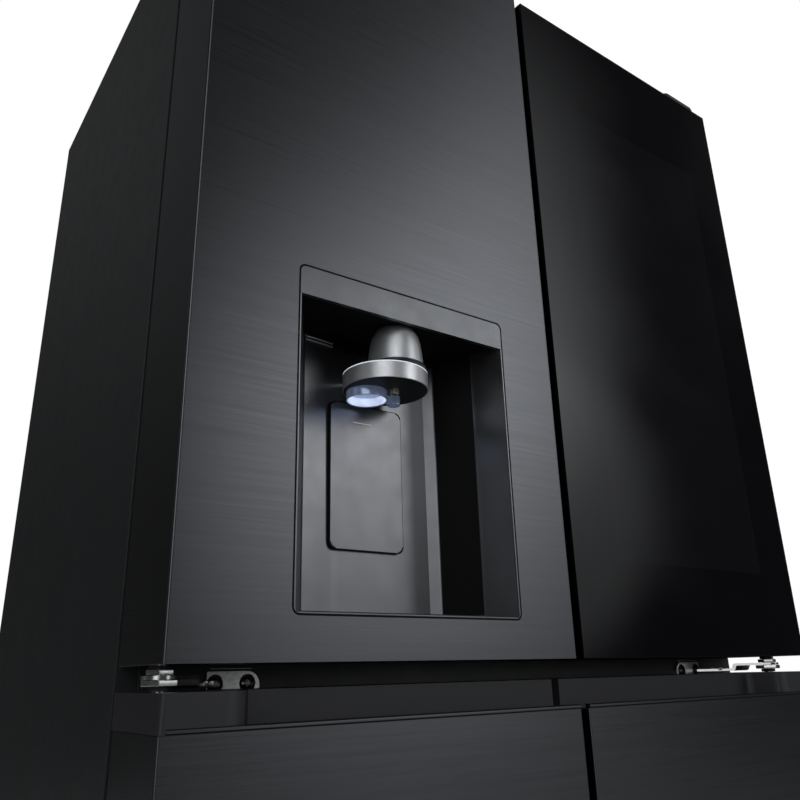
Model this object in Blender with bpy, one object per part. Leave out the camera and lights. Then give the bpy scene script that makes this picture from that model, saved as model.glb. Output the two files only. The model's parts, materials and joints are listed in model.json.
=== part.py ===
"""Four-door french door refrigerator with a water and ice dispenser in its upper left door.

Metres, +Z up. The origin is at the middle of the footprint, on the floor. +X is the right side as
one faces the doors, and the doors face -Y. Every door turns on one vertical line a side.
"""

import math

import bmesh
import bpy
from mathutils import Matrix, Vector

# Driving dimensions of the whole appliance
WIDTH = 0.912
HEIGHT = 1.787
DEPTH = 0.738
CABINET_TOP = 1.753
CABINET_BOTTOM = 0.040
UPPER_DOOR_BOTTOM = 0.836
LOWER_DOOR_TOP = 0.8155
LOWER_PANEL_TOP = 0.786
LOWER_DOOR_BOTTOM = 0.055
DOOR_THICKNESS = 0.113
DOOR_TO_CABINET = 0.005
SEAM_HALF = 0.0054
GAP = 0.0003
SHEET = 0.0012
LINER_WALL = 0.0015
SKIN_RADIUS = 0.005
OVERCUT = 0.010

# Places worked out from them
HALF_WIDTH = WIDTH / 2
FRONT_Y = -DEPTH / 2
DOOR_BACK_Y = FRONT_Y + DOOR_THICKNESS
CABINET_Y = DOOR_BACK_Y + DOOR_TO_CABINET
CABINET_BACK_Y = DEPTH / 2 - 0.024
PIVOT_X = HALF_WIDTH - 0.015
PIVOT_Y = FRONT_Y + 0.048
PIN_RADIUS = 0.006
PIN_HOLE_RADIUS = 0.0072
PIN_REACH = 0.016
ROUND_STEPS = 16

# Refrigerator space and the two freezer spaces: inner faces of their liners
FRIDGE_HALF_X = 0.404
FRIDGE_Z = (0.866, 1.698)
FRIDGE_BACK_Y = 0.280
FREEZER_X = (0.030, 0.404)
FREEZER_Z = (0.100, 0.781)
FREEZER_STEP = (0.115, 0.290)
FLANGE_X = 0.4355
RAIL_Z = (0.7903, 0.8605)
CASE_OPENING = (0.436, 1.735)
MACHINE_X = 0.430
MACHINE_Y = 0.140
MACHINE_TOP = 0.268

# Dispenser, in the plane of the left door
DISPENSER_X = (-0.3468, -0.0841)
DISPENSER_Z = (UPPER_DOOR_BOTTOM + 0.0395, UPPER_DOOR_BOTTOM + 0.3717)
FASCIA_BOTTOM = UPPER_DOOR_BOTTOM + 0.3412
FASCIA_THICKNESS = 0.005
POCKET_DEPTH = 0.1095
HOUSING_DEPTH = 0.108
NOZZLE_CENTRE = (-0.2154, FRONT_Y + 0.048)
RING_RADIUS = 0.0466
RING_Z = (UPPER_DOOR_BOTTOM + 0.278, UPPER_DOOR_BOTTOM + 0.297)
COWL_CENTRE = (-0.2125, FRONT_Y + 0.032)
COWL_RADII = (0.0315, 0.0255)
FUNNEL_CENTRE = (-0.2340, FRONT_Y + 0.0570)
FUNNEL_RADII = (0.0195, 0.0222)
FUNNEL_DROP = 0.007
WATER_TIP_CENTRE = (-0.2131, FRONT_Y + 0.0343)
WATER_TIP_RADIUS = 0.005
WATER_TIP_DROP = 0.006
BACK_WALL_DEPTHS = (0.091, 0.103)
PADDLE_X = (-0.26125, -0.16955)
PADDLE_Z = (UPPER_DOOR_BOTTOM + 0.112, UPPER_DOOR_BOTTOM + 0.271)
PADDLE_Y = (FRONT_Y + 0.086, FRONT_Y + 0.096)
PADDLE_CLEARANCE = 0.0012
PADDLE_POCKET_Y = FRONT_Y + 0.1055
PADDLE_PIVOT = (0.0, PADDLE_Y[0] + 0.007, PADDLE_Z[1] - 0.004)

# Right door: a thin outer door over an inner frame that carries the bins
OUTER_DOOR_BACK_Y = FRONT_Y + 0.058
INNER_FRAME_Y = FRONT_Y + 0.060
GLASS_THICKNESS = 0.004
WINDOW_X = (0.080, 0.382)
WINDOW_Z = (UPPER_DOOR_BOTTOM + 0.1085, UPPER_DOOR_BOTTOM + 0.767)
DIKE_X = (0.048, 0.396)
DIKE_OPENING_X = (0.056, 0.387)
UPPER_DIKE_Z = (0.876, 1.688)
UPPER_DIKE_OPENING_Z = (0.885, 1.679)
UPPER_DIKE_Y = FRONT_Y + 0.150
LOWER_DIKE_Z = (0.112, 0.769)
LOWER_DIKE_OPENING_Z = (0.124, 0.757)
LOWER_DIKE_Y = FRONT_Y + 0.138
DIKE_FLOOR = 0.004
RIGHT_BIN_HEIGHT = 0.110

# Pocket handle along the top of the lower doors
GRIP_DEPTH = 0.041
GRIP_END_X = 0.365
GRIP_CURVE = 0.026
GRIP_POCKET_Z = LOWER_PANEL_TOP - 0.035
GRIP_LIP = 0.010

# Mullion flap on the left door's free edge
MULLION_X = -0.036
MULLION_Y = FRONT_Y + 0.127
MULLION_RADIUS = 0.0085
MULLION_LENGTH = 0.054
MULLION_Z = (0.875, 1.690)

# Brackets
BRACKET_SHEET = 0.003
EYE_RADIUS = 0.0145
HINGE_SCREW_X = (0.366, 0.3335)
HINGE_SCREW_DROP = 0.0155
HINGE_SCREW_RADIUS = 0.0052

# Base
ROLLER_RADIUS = 0.018
ROLLER_HALF = 0.008
AXLE_RADIUS = 0.003
AXLE_HALF = 0.0145
ROLLER_X = 0.432
ROLLER_Y = 0.300
FOOT_X = 0.432
FOOT_Y = -0.225
FOOT_RADIUS = 0.018
STEM_RADIUS = 0.005
STEM_TOP = 0.039
RAIL_BOTTOM = 0.012
BASE_INNER_X = 0.412
BASE_CUT_Z = (0.0, 0.1)
PAN_FLOOR = RAIL_BOTTOM + 0.003
PAN_BACK_Y = 0.310
GRILLE_HALF_X = 0.385
GRILLE_Z = (0.008, 0.051)
FAN_CENTRE = (-0.150, 0.240, 0.155)
FAN_RADIUS = 0.078
FAN_BLADES = 5
FAN_PITCH = 32
COMPRESSOR_CENTRE = (0.200, 0.235)

# Fittings of the cold spaces
SHELF_THICKNESS = 0.014
SHELF_BOTTOMS = (("shelf_lower", 1.180), ("shelf_upper", 1.430))
SHELF_Y = (-0.112, 0.258)
CRISPER_COVER_BOTTOM = 1.026
DUCT_HALF_X = 0.150
DUCT_Y = 0.264
DUCT_Z = (1.060, 1.660)
DRAWER_WALL = 0.003
BIN_WALL = 0.0025
BIN_BACK_Y = FRONT_Y + 0.222

AXIS_TURN = {
    "X": Matrix(((0, 0, 1), (1, 0, 0), (0, 1, 0))),
    "Y": Matrix(((1, 0, 0), (0, 0, 1), (0, 1, 0))),
    "Z": Matrix.Identity(3),
}


def clear_scene():
    for obj in list(bpy.data.objects):
        bpy.data.objects.remove(obj)


def finish(name, colour, roughness, metallic=0.0):
    """One Principled material."""
    material = bpy.data.materials.new(name)
    material.use_nodes = True
    shader = material.node_tree.nodes["Principled BSDF"]
    shader.inputs["Base Color"].default_value = (*colour, 1.0)
    shader.inputs["Roughness"].default_value = roughness
    shader.inputs["Metallic"].default_value = metallic
    return material


def anchor(name, place):
    """An empty on a joint's axis, which its moving pieces are parented to."""
    empty = bpy.data.objects.new(name, None)
    empty.location = place
    empty.empty_display_size = 0.05
    bpy.context.scene.collection.objects.link(empty)
    return empty


def prism(outline, axis, low, high):
    """Mesh of a flat outline swept from low to high along an axis. The outline's points are (x, y)
    for axis Z, (x, z) for axis Y and (y, z) for axis X."""
    shape = bmesh.new()
    ring = [shape.verts.new(AXIS_TURN[axis] @ Vector((u, v, low))) for u, v in outline]
    base = shape.faces.new(ring)
    swept = bmesh.ops.extrude_face_region(shape, geom=[base])["geom"]
    tops = [item for item in swept if isinstance(item, bmesh.types.BMVert)]
    bmesh.ops.translate(shape, vec=AXIS_TURN[axis] @ Vector((0, 0, high - low)), verts=tops)
    return to_mesh(shape)


def to_mesh(shape):
    bmesh.ops.recalc_face_normals(shape, faces=shape.faces)
    mesh = bpy.data.meshes.new("shape")
    shape.to_mesh(mesh)
    shape.free()
    return mesh


def box(x, y, z):
    """Mesh of a block between pairs of limits, given in either order."""
    (x0, x1), (y0, y1), (z0, z1) = sorted(x), sorted(y), sorted(z)
    return prism([(x0, y0), (x1, y0), (x1, y1), (x0, y1)], "Z", z0, z1)


def arc(centre, radius, start, end, steps):
    """Points along an arc, in degrees, both ends included."""
    turns = [math.radians(start + (end - start) * i / steps) for i in range(steps + 1)]
    return [(centre[0] + radius * math.cos(a), centre[1] + radius * math.sin(a)) for a in turns]


def disc(centre, radius, steps=ROUND_STEPS):
    return arc(centre, radius, 0, 360, steps)[:-1]


def rod(centre, radius, low, high, axis="Z", steps=ROUND_STEPS):
    """Mesh of a round bar, with a corner of its outline at the lowest point."""
    start = -90
    return prism(arc(centre, radius, start, start + 360, steps)[:-1], axis, low, high)


def hull(points):
    """Mesh of the convex hull of some points."""
    shape = bmesh.new()
    for point in points:
        shape.verts.new(point)
    made = bmesh.ops.convex_hull(shape, input=shape.verts)
    spare = [item for item in made["geom_unused"] if isinstance(item, bmesh.types.BMVert)]
    bmesh.ops.delete(shape, geom=spare, context="VERTS")
    return to_mesh(shape)


def hull_outline(points):
    """Corners of the convex hull of some points of a plane, in order."""
    points = sorted(set(points))

    def half(sequence):
        chain = []
        for p in sequence:
            while len(chain) > 1 and turns_left(chain[-2], chain[-1], p) <= 0:
                chain.pop()
            chain.append(p)
        return chain[:-1]

    return half(points) + half(reversed(points))


def turns_left(a, b, c):
    return (b[0] - a[0]) * (c[1] - a[1]) - (b[1] - a[1]) * (c[0] - a[0])


def turned(profile, place, axis="Z", steps=24):
    """Mesh of a closed (radius, height) profile turned about an axis through a place."""
    shape = bmesh.new()
    rings = []
    for i in range(steps):
        angle = 2 * math.pi * i / steps - math.pi / 2
        rings.append([(r * math.cos(angle), r * math.sin(angle), h) for r, h in profile])
    turn = AXIS_TURN[axis]
    verts = [[shape.verts.new(turn @ Vector(p) + Vector(place)) for p in ring] for ring in rings]
    count = len(profile)
    for i in range(steps):
        here, after = verts[i], verts[(i + 1) % steps]
        for j in range(count):
            k = (j + 1) % count
            shape.faces.new((here[j], here[k], after[k], after[j]))
    bmesh.ops.remove_doubles(shape, verts=shape.verts, dist=1e-6)
    bmesh.ops.dissolve_degenerate(shape, edges=shape.edges, dist=1e-7)
    return to_mesh(shape)


def piece(name, mesh, material=None, parent=None):
    """An object with this mesh. Its origin is its parent's place, or the floor's."""
    obj = bpy.data.objects.new(name, mesh)
    bpy.context.scene.collection.objects.link(obj)
    mesh.name = name
    if parent:
        mesh.transform(Matrix.Translation(-parent.location))
        obj.parent = parent
    if material:
        mesh.materials.append(material)
    return obj


def shape_with(obj, mesh, operation):
    """Cuts obj with a hidden tool, joins the tool to it, or keeps what both hold."""
    tool = hidden(piece(f"tool_{obj.name}_{len(obj.modifiers)}", mesh, parent=obj.parent))
    modifier = obj.modifiers.new(f"{operation.lower()}_{len(obj.modifiers)}", "BOOLEAN")
    modifier.operation = operation
    modifier.object = tool
    modifier.solver = "EXACT"


def join_object(obj, other):
    """Joins a hidden object, with its own modifiers, to obj."""
    modifier = obj.modifiers.new(f"join_{len(obj.modifiers)}", "BOOLEAN")
    modifier.operation = "UNION"
    modifier.object = other
    modifier.solver = "EXACT"


def hidden(obj):
    """Marks a helper that only shapes other objects."""
    obj.hide_render = True
    obj.display_type = "WIRE"
    return obj


def cut(obj, *meshes):
    for mesh in meshes:
        shape_with(obj, mesh, "DIFFERENCE")


def join(obj, *meshes):
    for mesh in meshes:
        shape_with(obj, mesh, "UNION")


def smooth(obj, degrees=35):
    obj.data.shade_smooth()
    obj.data.set_sharp_from_angle(angle=math.radians(degrees))


def span(side, near, far):
    """Limits in x of something between two distances from the middle, on one side."""
    return (side * near, side * far)


def side_name(side):
    return "left" if side < 0 else "right"


def freezer_outline(grow):
    """(y, z) outline of a freezer space, with the step over the machine compartment."""
    step_y, step_z = FREEZER_STEP
    low, high = FREEZER_Z
    back = FRIDGE_BACK_Y
    return [
        (CABINET_Y - OVERCUT, low - grow),
        (step_y + grow, low - grow),
        (step_y + grow, step_z - grow),
        (back + grow, step_z - grow),
        (back + grow, high + grow),
        (CABINET_Y - OVERCUT, high + grow),
    ]


def freezer_space(side, grow):
    low, high = sorted(span(side, FREEZER_X[0] - grow, FREEZER_X[1] + grow))
    return prism(freezer_outline(grow), "X", low, high)


def fridge_space(grow):
    half = FRIDGE_HALF_X + grow
    z = (FRIDGE_Z[0] - grow, FRIDGE_Z[1] + grow)
    return box((-half, half), (CABINET_Y - OVERCUT, FRIDGE_BACK_Y + grow), z)


def make_outer_case(material):
    """Folded steel wrap: two sides, the top and a narrow front flange."""
    inner = HALF_WIDTH - SHEET
    half, top = CASE_OPENING
    case = piece(
        "outer_case",
        box((-HALF_WIDTH, HALF_WIDTH), (CABINET_Y, CABINET_BACK_Y), (CABINET_BOTTOM, CABINET_TOP)),
        material,
    )
    below = CABINET_BOTTOM - OVERCUT
    cut(
        case,
        box((-inner, inner), (CABINET_Y + SHEET, CABINET_BACK_Y + OVERCUT), (below, CABINET_TOP - SHEET)),
        box((-half, half), (CABINET_Y - OVERCUT, CABINET_Y + OVERCUT), (below, top)),
    )


def make_insulation(material):
    """Foam between the wrap and the liners, with the machine compartment at the back."""
    half = HALF_WIDTH - SHEET - GAP
    y = (CABINET_Y + LINER_WALL + GAP, CABINET_BACK_Y - GAP)
    foam = piece(
        "insulation", box((-half, half), y, (CABINET_BOTTOM + GAP, CABINET_TOP - SHEET - GAP)), material
    )
    grow = LINER_WALL + GAP
    cut(
        foam,
        fridge_space(grow),
        freezer_space(-1, grow),
        freezer_space(1, grow),
        box((-MACHINE_X, MACHINE_X), (MACHINE_Y, CABINET_BACK_Y + OVERCUT), (0.03, MACHINE_TOP)),
    )


def make_liners(material):
    """Thin moulded linings of the cold spaces, each with a flange behind the door seals."""
    front = (CABINET_Y, CABINET_Y + LINER_WALL)
    half = FRIDGE_HALF_X + LINER_WALL
    fridge = piece(
        "fridge_liner",
        box(
            (-half, half),
            (CABINET_Y, FRIDGE_BACK_Y + LINER_WALL),
            (FRIDGE_Z[0] - LINER_WALL, FRIDGE_Z[1] + LINER_WALL),
        ),
        material,
    )
    join(fridge, box((-FLANGE_X, FLANGE_X), front, (RAIL_Z[1] + GAP, CASE_OPENING[1] - GAP)))
    cut(fridge, fridge_space(0.0))

    flange = box((-FLANGE_X, FLANGE_X), front, (CABINET_BOTTOM + 0.018, RAIL_Z[0] - GAP))
    freezer = piece("freezer_liner", flange, material)
    keep = box((-FLANGE_X, FLANGE_X), (CABINET_Y + 0.0002, 0.4), (0.05, 0.85))
    for side in (-1, 1):
        shell = freezer_space(side, LINER_WALL)
        trimmed = hidden(piece(f"tool_freezer_shell_{side_name(side)}", shell))
        shape_with(trimmed, keep.copy(), "INTERSECT")
        join_object(freezer, trimmed)
    for side in (-1, 1):
        cut(freezer, freezer_space(side, 0.0))
    bpy.data.meshes.remove(keep)


def make_centre_rail(material):
    """Steel rail across the cabinet between the upper and lower doors."""
    rail = box((-FLANGE_X, FLANGE_X), (CABINET_Y, CABINET_Y + SHEET), RAIL_Z)
    piece("centre_rail", rail, material)


def hinge_eye(side, far_x, near_x, back_y, radius=EYE_RADIUS):
    """Plan of a bracket: a round eye at the pivot, drawn back to a straight foot."""
    eye = disc((side * PIVOT_X, PIVOT_Y), radius)
    return hull_outline([*eye, (side * far_x, back_y), (side * near_x, back_y)])


def make_top_hinge(side, material, cover_material):
    """Bracket on the cabinet's top with a pin down into the door, under a plastic cover."""
    low = CABINET_TOP + GAP
    name = f"top_hinge_{side_name(side)}"
    plan = hinge_eye(side, 0.450, 0.396, -0.160, radius=0.0115)
    bracket = piece(name, prism(plan, "Z", low, low + BRACKET_SHEET), material)
    pivot = (side * PIVOT_X, PIVOT_Y)
    join(bracket, rod(pivot, PIN_RADIUS, CABINET_TOP - PIN_REACH, low + 0.001))
    cover_y = (FRONT_Y + 0.014, -0.130)
    wall = 0.002
    cover_x = (0.374, HALF_WIDTH - 0.001)
    outer = box(span(side, *cover_x), cover_y, (low + 0.0004, HEIGHT))
    cover = piece(f"hinge_cover_{side_name(side)}", outer, cover_material)
    inside_y = (cover_y[0] + wall, cover_y[1] - wall)
    inside_x = span(side, cover_x[0] + wall, cover_x[1] - wall)
    inside = box(inside_x, inside_y, (CABINET_TOP - OVERCUT, HEIGHT - wall))
    cut(cover, inside)


def make_middle_hinge(side, material):
    """Bracket between the doors: a plate on the rail, a stepped arm, and a pin up and down."""
    base = UPPER_DOOR_BOTTOM
    plate_y = (CABINET_Y - GAP - BRACKET_SHEET, CABINET_Y - GAP)
    plate_outline = [(0.374, base - 0.026), (0.374, base - 0.0026)]
    plate_outline += arc((0.334, base - 0.0156), 0.013, 90, 180, 5)
    plate_outline += [(0.321, base - 0.026)]
    outline = [(side * x, z) for x, z in plate_outline]
    bracket = piece(f"middle_hinge_{side_name(side)}", prism(outline, "Y", *plate_y), material)
    strip = prism(stepped_arm(base, plate_y[0] + 0.001), "X", *arm_x(side))
    arm = hidden(piece(f"tool_arm_{side_name(side)}", strip))
    plan = hinge_eye(side, 0.372, 0.344, plate_y[1])
    shape_with(arm, prism(plan, "Z", base - 0.03, base), "INTERSECT")
    join_object(bracket, arm)
    join(bracket, rod((side * PIVOT_X, PIVOT_Y), PIN_RADIUS, LOWER_DOOR_TOP - PIN_REACH, base + PIN_REACH))
    hole_y = (plate_y[0] - 0.004, plate_y[1] + 0.001)
    for x in HINGE_SCREW_X:
        cut(bracket, rod((side * x, base - HINGE_SCREW_DROP), HINGE_SCREW_RADIUS, *hole_y, "Y"))


def arm_x(side):
    return sorted(span(side, 0.30, HALF_WIDTH))


def stepped_arm(base, back_y):
    """(y, z) outline of the arm: low at the rail, with a step up to the pivot."""
    sheet, rise = BRACKET_SHEET, 0.0068
    low = base - 0.0178
    step_y = PIVOT_Y + 0.026
    front_y = FRONT_Y + 0.02
    return [
        (back_y, low),
        (back_y, low + sheet),
        (step_y + 0.002, low + sheet),
        (step_y, low + sheet + rise),
        (front_y, low + sheet + rise),
        (front_y, low + rise),
        (step_y - sheet, low + rise),
        (step_y - sheet + 0.002, low),
    ]


def make_hinge_nut(side, material):
    """Lock nut on the middle hinge's pin, under the arm."""
    low, high = UPPER_DOOR_BOTTOM - 0.0160, UPPER_DOOR_BOTTOM - 0.0113
    nut = hex_nut((side * PIVOT_X, PIVOT_Y), 0.0140, PIN_RADIUS + 0.0004, low, high)
    piece(f"hinge_nut_{side_name(side)}", nut, material)


def hex_nut(centre, radius, hole, low, high):
    """Six-sided ring round a pin."""
    shape = bmesh.new()
    outer = arc(centre, radius, 0, 360, 6)[:-1]
    inner = arc(centre, hole, 0, 360, 12)[:-1]
    levels = []
    for z in (low, high):
        outside = [shape.verts.new((x, y, z)) for x, y in outer]
        inside = [shape.verts.new((x, y, z)) for x, y in inner]
        levels.append((outside, inside))
    for outside, inside in levels:
        for i in range(6):
            j = (i + 1) % 6
            a, b, c = inside[2 * i], inside[2 * i + 1], inside[2 * j]
            shape.faces.new((outside[i], outside[j], c, b, a))
    for k, count in ((0, 6), (1, 12)):
        low_ring, high_ring = levels[0][k], levels[1][k]
        for i in range(count):
            j = (i + 1) % count
            shape.faces.new((low_ring[i], low_ring[j], high_ring[j], high_ring[i]))
    return to_mesh(shape)


def make_bottom_hinge(side, material):
    """Bracket on the base's front with a pin up into the lower door."""
    high = LOWER_DOOR_BOTTOM - 0.0015
    low = high - BRACKET_SHEET
    tab_y = (CABINET_Y - GAP - BRACKET_SHEET, CABINET_Y - GAP)
    plan = hinge_eye(side, 0.450, 0.404, tab_y[1])
    bracket = piece(f"bottom_hinge_{side_name(side)}", prism(plan, "Z", low, high), material)
    join(
        bracket,
        box(span(side, 0.404, 0.450), tab_y, (RAIL_BOTTOM + 0.002, low + 0.001)),
        rod((side * PIVOT_X, PIVOT_Y), PIN_RADIUS, low + 0.001, LOWER_DOOR_BOTTOM + PIN_REACH),
    )


def make_base(material, grille_material):
    """Steel ring frame under the cabinet, and the grille across its front."""
    half = HALF_WIDTH - 0.004
    frame = piece(
        "base_frame",
        box((-half, half), (CABINET_Y, CABINET_BACK_Y - 0.005), (RAIL_BOTTOM, CABINET_BOTTOM)),
        material,
    )
    inner_x = (-BASE_INNER_X, BASE_INNER_X)
    front_gap_y = (CABINET_Y + 0.040, MACHINE_Y - 0.020)
    cut(frame, box(inner_x, front_gap_y, BASE_CUT_Z))
    cut(frame, box(inner_x, (MACHINE_Y + 0.010, PAN_BACK_Y), (PAN_FLOOR, BASE_CUT_Z[1])))
    slot_half_x, slot_half_y = ROLLER_HALF + 0.002, ROLLER_RADIUS + 0.004
    for side in (-1, 1):
        slot = span(side, ROLLER_X - slot_half_x, ROLLER_X + slot_half_x)
        axle = sorted(span(side, ROLLER_X - AXLE_HALF - 0.001, ROLLER_X + AXLE_HALF + 0.001))
        cut(
            frame,
            rod((side * FOOT_X, FOOT_Y), STEM_RADIUS + 0.0012, *BASE_CUT_Z),
            box(slot, (ROLLER_Y - slot_half_y, ROLLER_Y + slot_half_y), BASE_CUT_Z),
            rod((ROLLER_Y, ROLLER_RADIUS), AXLE_RADIUS + 0.0008, *axle, "X"),
        )
    slab = box((-GRILLE_HALF_X, GRILLE_HALF_X), (CABINET_Y - 0.012, CABINET_Y - GAP), GRILLE_Z)
    grille = piece("kick_grille", slab, grille_material)
    rows, columns = 3, 4
    slot_length, slot_height = 0.160, 0.005
    for row in range(rows):
        z = GRILLE_Z[0] + 0.008 + row * 0.011
        for column in range(columns):
            x = -0.350 + column * 0.180
            y = (CABINET_Y - 0.020, CABINET_Y + OVERCUT)
            cut(grille, box((x, x + slot_length), y, (z, z + slot_height)))


def make_foot(side, material):
    """Threaded levelling foot in the front of the base."""
    place = (side * FOOT_X, FOOT_Y, 0.0)
    foot = anchor(f"foot_axis_{side_name(side)}", place)
    rim, shoulder = 0.006, 0.008
    profile = [(0, 0), (FOOT_RADIUS, 0), (FOOT_RADIUS, rim), (FOOT_RADIUS - 0.004, shoulder)]
    profile += [(STEM_RADIUS, shoulder), (STEM_RADIUS, STEM_TOP), (0, STEM_TOP)]
    smooth(piece(f"levelling_foot_{side_name(side)}", turned(profile, place), material, foot))


def make_roller(side, material):
    """Rear roller with its axle."""
    place = (side * ROLLER_X, ROLLER_Y, ROLLER_RADIUS)
    axis = anchor(f"roller_axis_{side_name(side)}", place)
    half_profile = [(0, -AXLE_HALF), (AXLE_RADIUS, -AXLE_HALF), (AXLE_RADIUS, -ROLLER_HALF)]
    half_profile.append((ROLLER_RADIUS, -ROLLER_HALF))
    profile = half_profile + [(radius, -along) for radius, along in reversed(half_profile)]
    smooth(piece(f"rear_roller_{side_name(side)}", turned(profile, place, "X"), material, axis))


def make_machinery(dark, blade_material, axis):
    """Compressor on the base pan and the condenser fan beside it."""
    shell, foot, dome, top = 0.070, 0.072, 0.040, 0.170
    profile = [(0, 0), (foot, 0), (foot, 0.004), (0.030, 0.004), (0.030, 0.024), (shell, 0.034)]
    profile += [*arc((shell - dome, top - dome), dome, 0, 90, 4), (0, top)]
    place = (*COMPRESSOR_CENTRE, PAN_FLOOR + GAP)
    smooth(piece("compressor", turned(profile, place, "Z", 20), dark))
    hub_radius, hub_half = 0.020, 0.012
    profile = [(0, -hub_half), (hub_radius, -hub_half), (hub_radius, hub_half), (0, hub_half)]
    fan = piece("condenser_fan", turned(profile, FAN_CENTRE, "Y", 16), blade_material, axis)
    for i in range(FAN_BLADES):
        blade = box((hub_radius - 0.006, FAN_RADIUS), (-0.001, 0.001), (-0.016, 0.016))
        blade.transform(Matrix.Rotation(math.radians(FAN_PITCH), 4, "X"))
        blade.transform(Matrix.Rotation(2 * math.pi * i / FAN_BLADES, 4, "Y"))
        blade.transform(Matrix.Translation(FAN_CENTRE))
        join(fan, blade)


def make_back(panel_material, cover_material):
    """Steel back, and the louvred cover of the machine compartment below it."""
    half = HALF_WIDTH - 0.002
    front, back = CABINET_BACK_Y + GAP, DEPTH / 2
    panel_z = (MACHINE_TOP + 0.006, CABINET_TOP - 0.001)
    piece("rear_panel", box((-half, half), (front, front + SHEET), panel_z), panel_material)
    low, high = CABINET_BOTTOM + 0.004, MACHINE_TOP + 0.004
    cover = piece("rear_cover", box((-half, half), (front, back), (low, high)), cover_material)
    wall, inner_x = 0.002, half - 0.030
    cut(cover, box((-inner_x, inner_x), (CABINET_BACK_Y, back - wall), (low + 0.004, high - 0.012)))
    rows, columns = 6, 3
    louvre_length, louvre_height = 0.200, 0.010
    for column in range(columns):
        x = -0.370 + column * 0.270
        for row in range(rows):
            z = 0.075 + row * 0.026
            y = (back - OVERCUT, back + OVERCUT)
            cut(cover, box((x, x + louvre_length), y, (z, z + louvre_height)))


def tray(name, x, y, z, wall, material, parent=None):
    """Open-topped bin or drawer."""
    obj = piece(name, box(x, y, z), material, parent)
    x0, x1 = sorted(x)
    inside_y = (y[0] + wall, y[1] - wall)
    cut(obj, box((x0 + wall, x1 - wall), inside_y, (z[0] + wall, z[1] + 0.02)))
    return obj


def make_interior(glass, clear, white):
    """Air duct, shelves, crispers and freezer drawers."""
    duct_x = (-DUCT_HALF_X, DUCT_HALF_X)
    duct = piece("duct_panel", box(duct_x, (DUCT_Y, FRIDGE_BACK_Y - GAP), DUCT_Z), white)
    vent_length, vent_height = 0.080, 0.012
    for row in range(4):
        z = DUCT_Z[0] + 0.050 + row * 0.140
        for x in (-0.120, 0.040):
            cut(duct, box((x, x + vent_length), (DUCT_Y - OVERCUT, DUCT_Y + 0.008), (z, z + vent_height)))
    half = FRIDGE_HALF_X - 0.001
    for name, z in SHELF_BOTTOMS:
        piece(name, box((-half, half), SHELF_Y, (z, z + SHELF_THICKNESS)), glass)
    cover_z = (CRISPER_COVER_BOTTOM, CRISPER_COVER_BOTTOM + SHELF_THICKNESS)
    piece("crisper_cover", box((-half, half), (SHELF_Y[0], SHELF_Y[1] + 0.004), cover_z), glass)
    crisper_z = (FRIDGE_Z[0] + 0.004, CRISPER_COVER_BOTTOM - 0.008)
    upper_z = (0.480, 0.660)
    lower_z = (FREEZER_Z[0] + 0.010, FREEZER_STEP[1] - 0.015)
    front_y = -0.210
    for side in (-1, 1):
        name = side_name(side)
        x = span(side, 0.003, 0.398)
        tray(f"crisper_drawer_{name}", x, (-0.105, 0.245), crisper_z, DRAWER_WALL, clear)
        x = span(side, FREEZER_X[0] + 0.012, FREEZER_X[1] - 0.006)
        tray(f"freezer_drawer_upper_{name}", x, (front_y, 0.250), upper_z, DRAWER_WALL, clear)
        y = (front_y, FREEZER_STEP[0] - 0.010)
        tray(f"freezer_drawer_lower_{name}", x, y, lower_z, DRAWER_WALL, clear)


def skin_outline(x_side, x_seam, y_front, y_back, inset=0.0):
    """Plan of a door skin's outer face from back to front to back, with round front corners."""
    x0, x1 = sorted((x_side, x_seam))
    x0, x1, y_front = x0 + inset, x1 - inset, y_front + inset
    radius = SKIN_RADIUS - inset
    left = arc((x0 + radius, y_front + radius), radius, 180, 270, 4)
    right = arc((x1 - radius, y_front + radius), radius, 270, 360, 4)
    return [(x0, y_back), *left, *right, (x1, y_back)]


def make_skin(name, side, z, material, parent):
    """Folded steel front of a door with both its side returns."""
    y_back = DOOR_BACK_Y - 0.004
    outer = skin_outline(side * HALF_WIDTH, side * SEAM_HALF, FRONT_Y, y_back)
    inner = skin_outline(side * HALF_WIDTH, side * SEAM_HALF, FRONT_Y, y_back, SHEET)
    return piece(name, prism(outer + inner[::-1], "Z", *z), material, parent)


def body_plan(side, y_back):
    """Plan of the foamed body inside a skin."""
    return skin_outline(side * HALF_WIDTH, side * SEAM_HALF, FRONT_Y, y_back, SHEET + GAP)


def pin_hole(side, low, high):
    return rod((side * PIVOT_X, PIVOT_Y), PIN_HOLE_RADIUS, low, high)


def make_gasket(name, side, z, material, parent):
    """Magnetic seal in a frame round the back of a door."""
    inset, width = 0.016, 0.014
    x = sorted(span(side, SEAM_HALF + inset, HALF_WIDTH - inset))
    y = (DOOR_BACK_Y + GAP, CABINET_Y - GAP)
    z = (z[0] + inset, z[1] - inset)
    seal = piece(name, box(x, y, z), material, parent)
    inner_x, inner_z = (x[0] + width, x[1] - width), (z[0] + width, z[1] - width)
    cut(seal, box(inner_x, (y[0] - OVERCUT, y[1] + OVERCUT), inner_z))


def ring_dike(obj, side, z, opening_z, y_back):
    """Raised rim of a door's inner face, which reaches into the cold space."""
    join(obj, box(span(side, *DIKE_X), (DOOR_BACK_Y - 0.001, y_back), z))
    opening_y = (DOOR_BACK_Y - DIKE_FLOOR, y_back + OVERCUT)
    cut(obj, box(span(side, *DIKE_OPENING_X), opening_y, opening_z))


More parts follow.
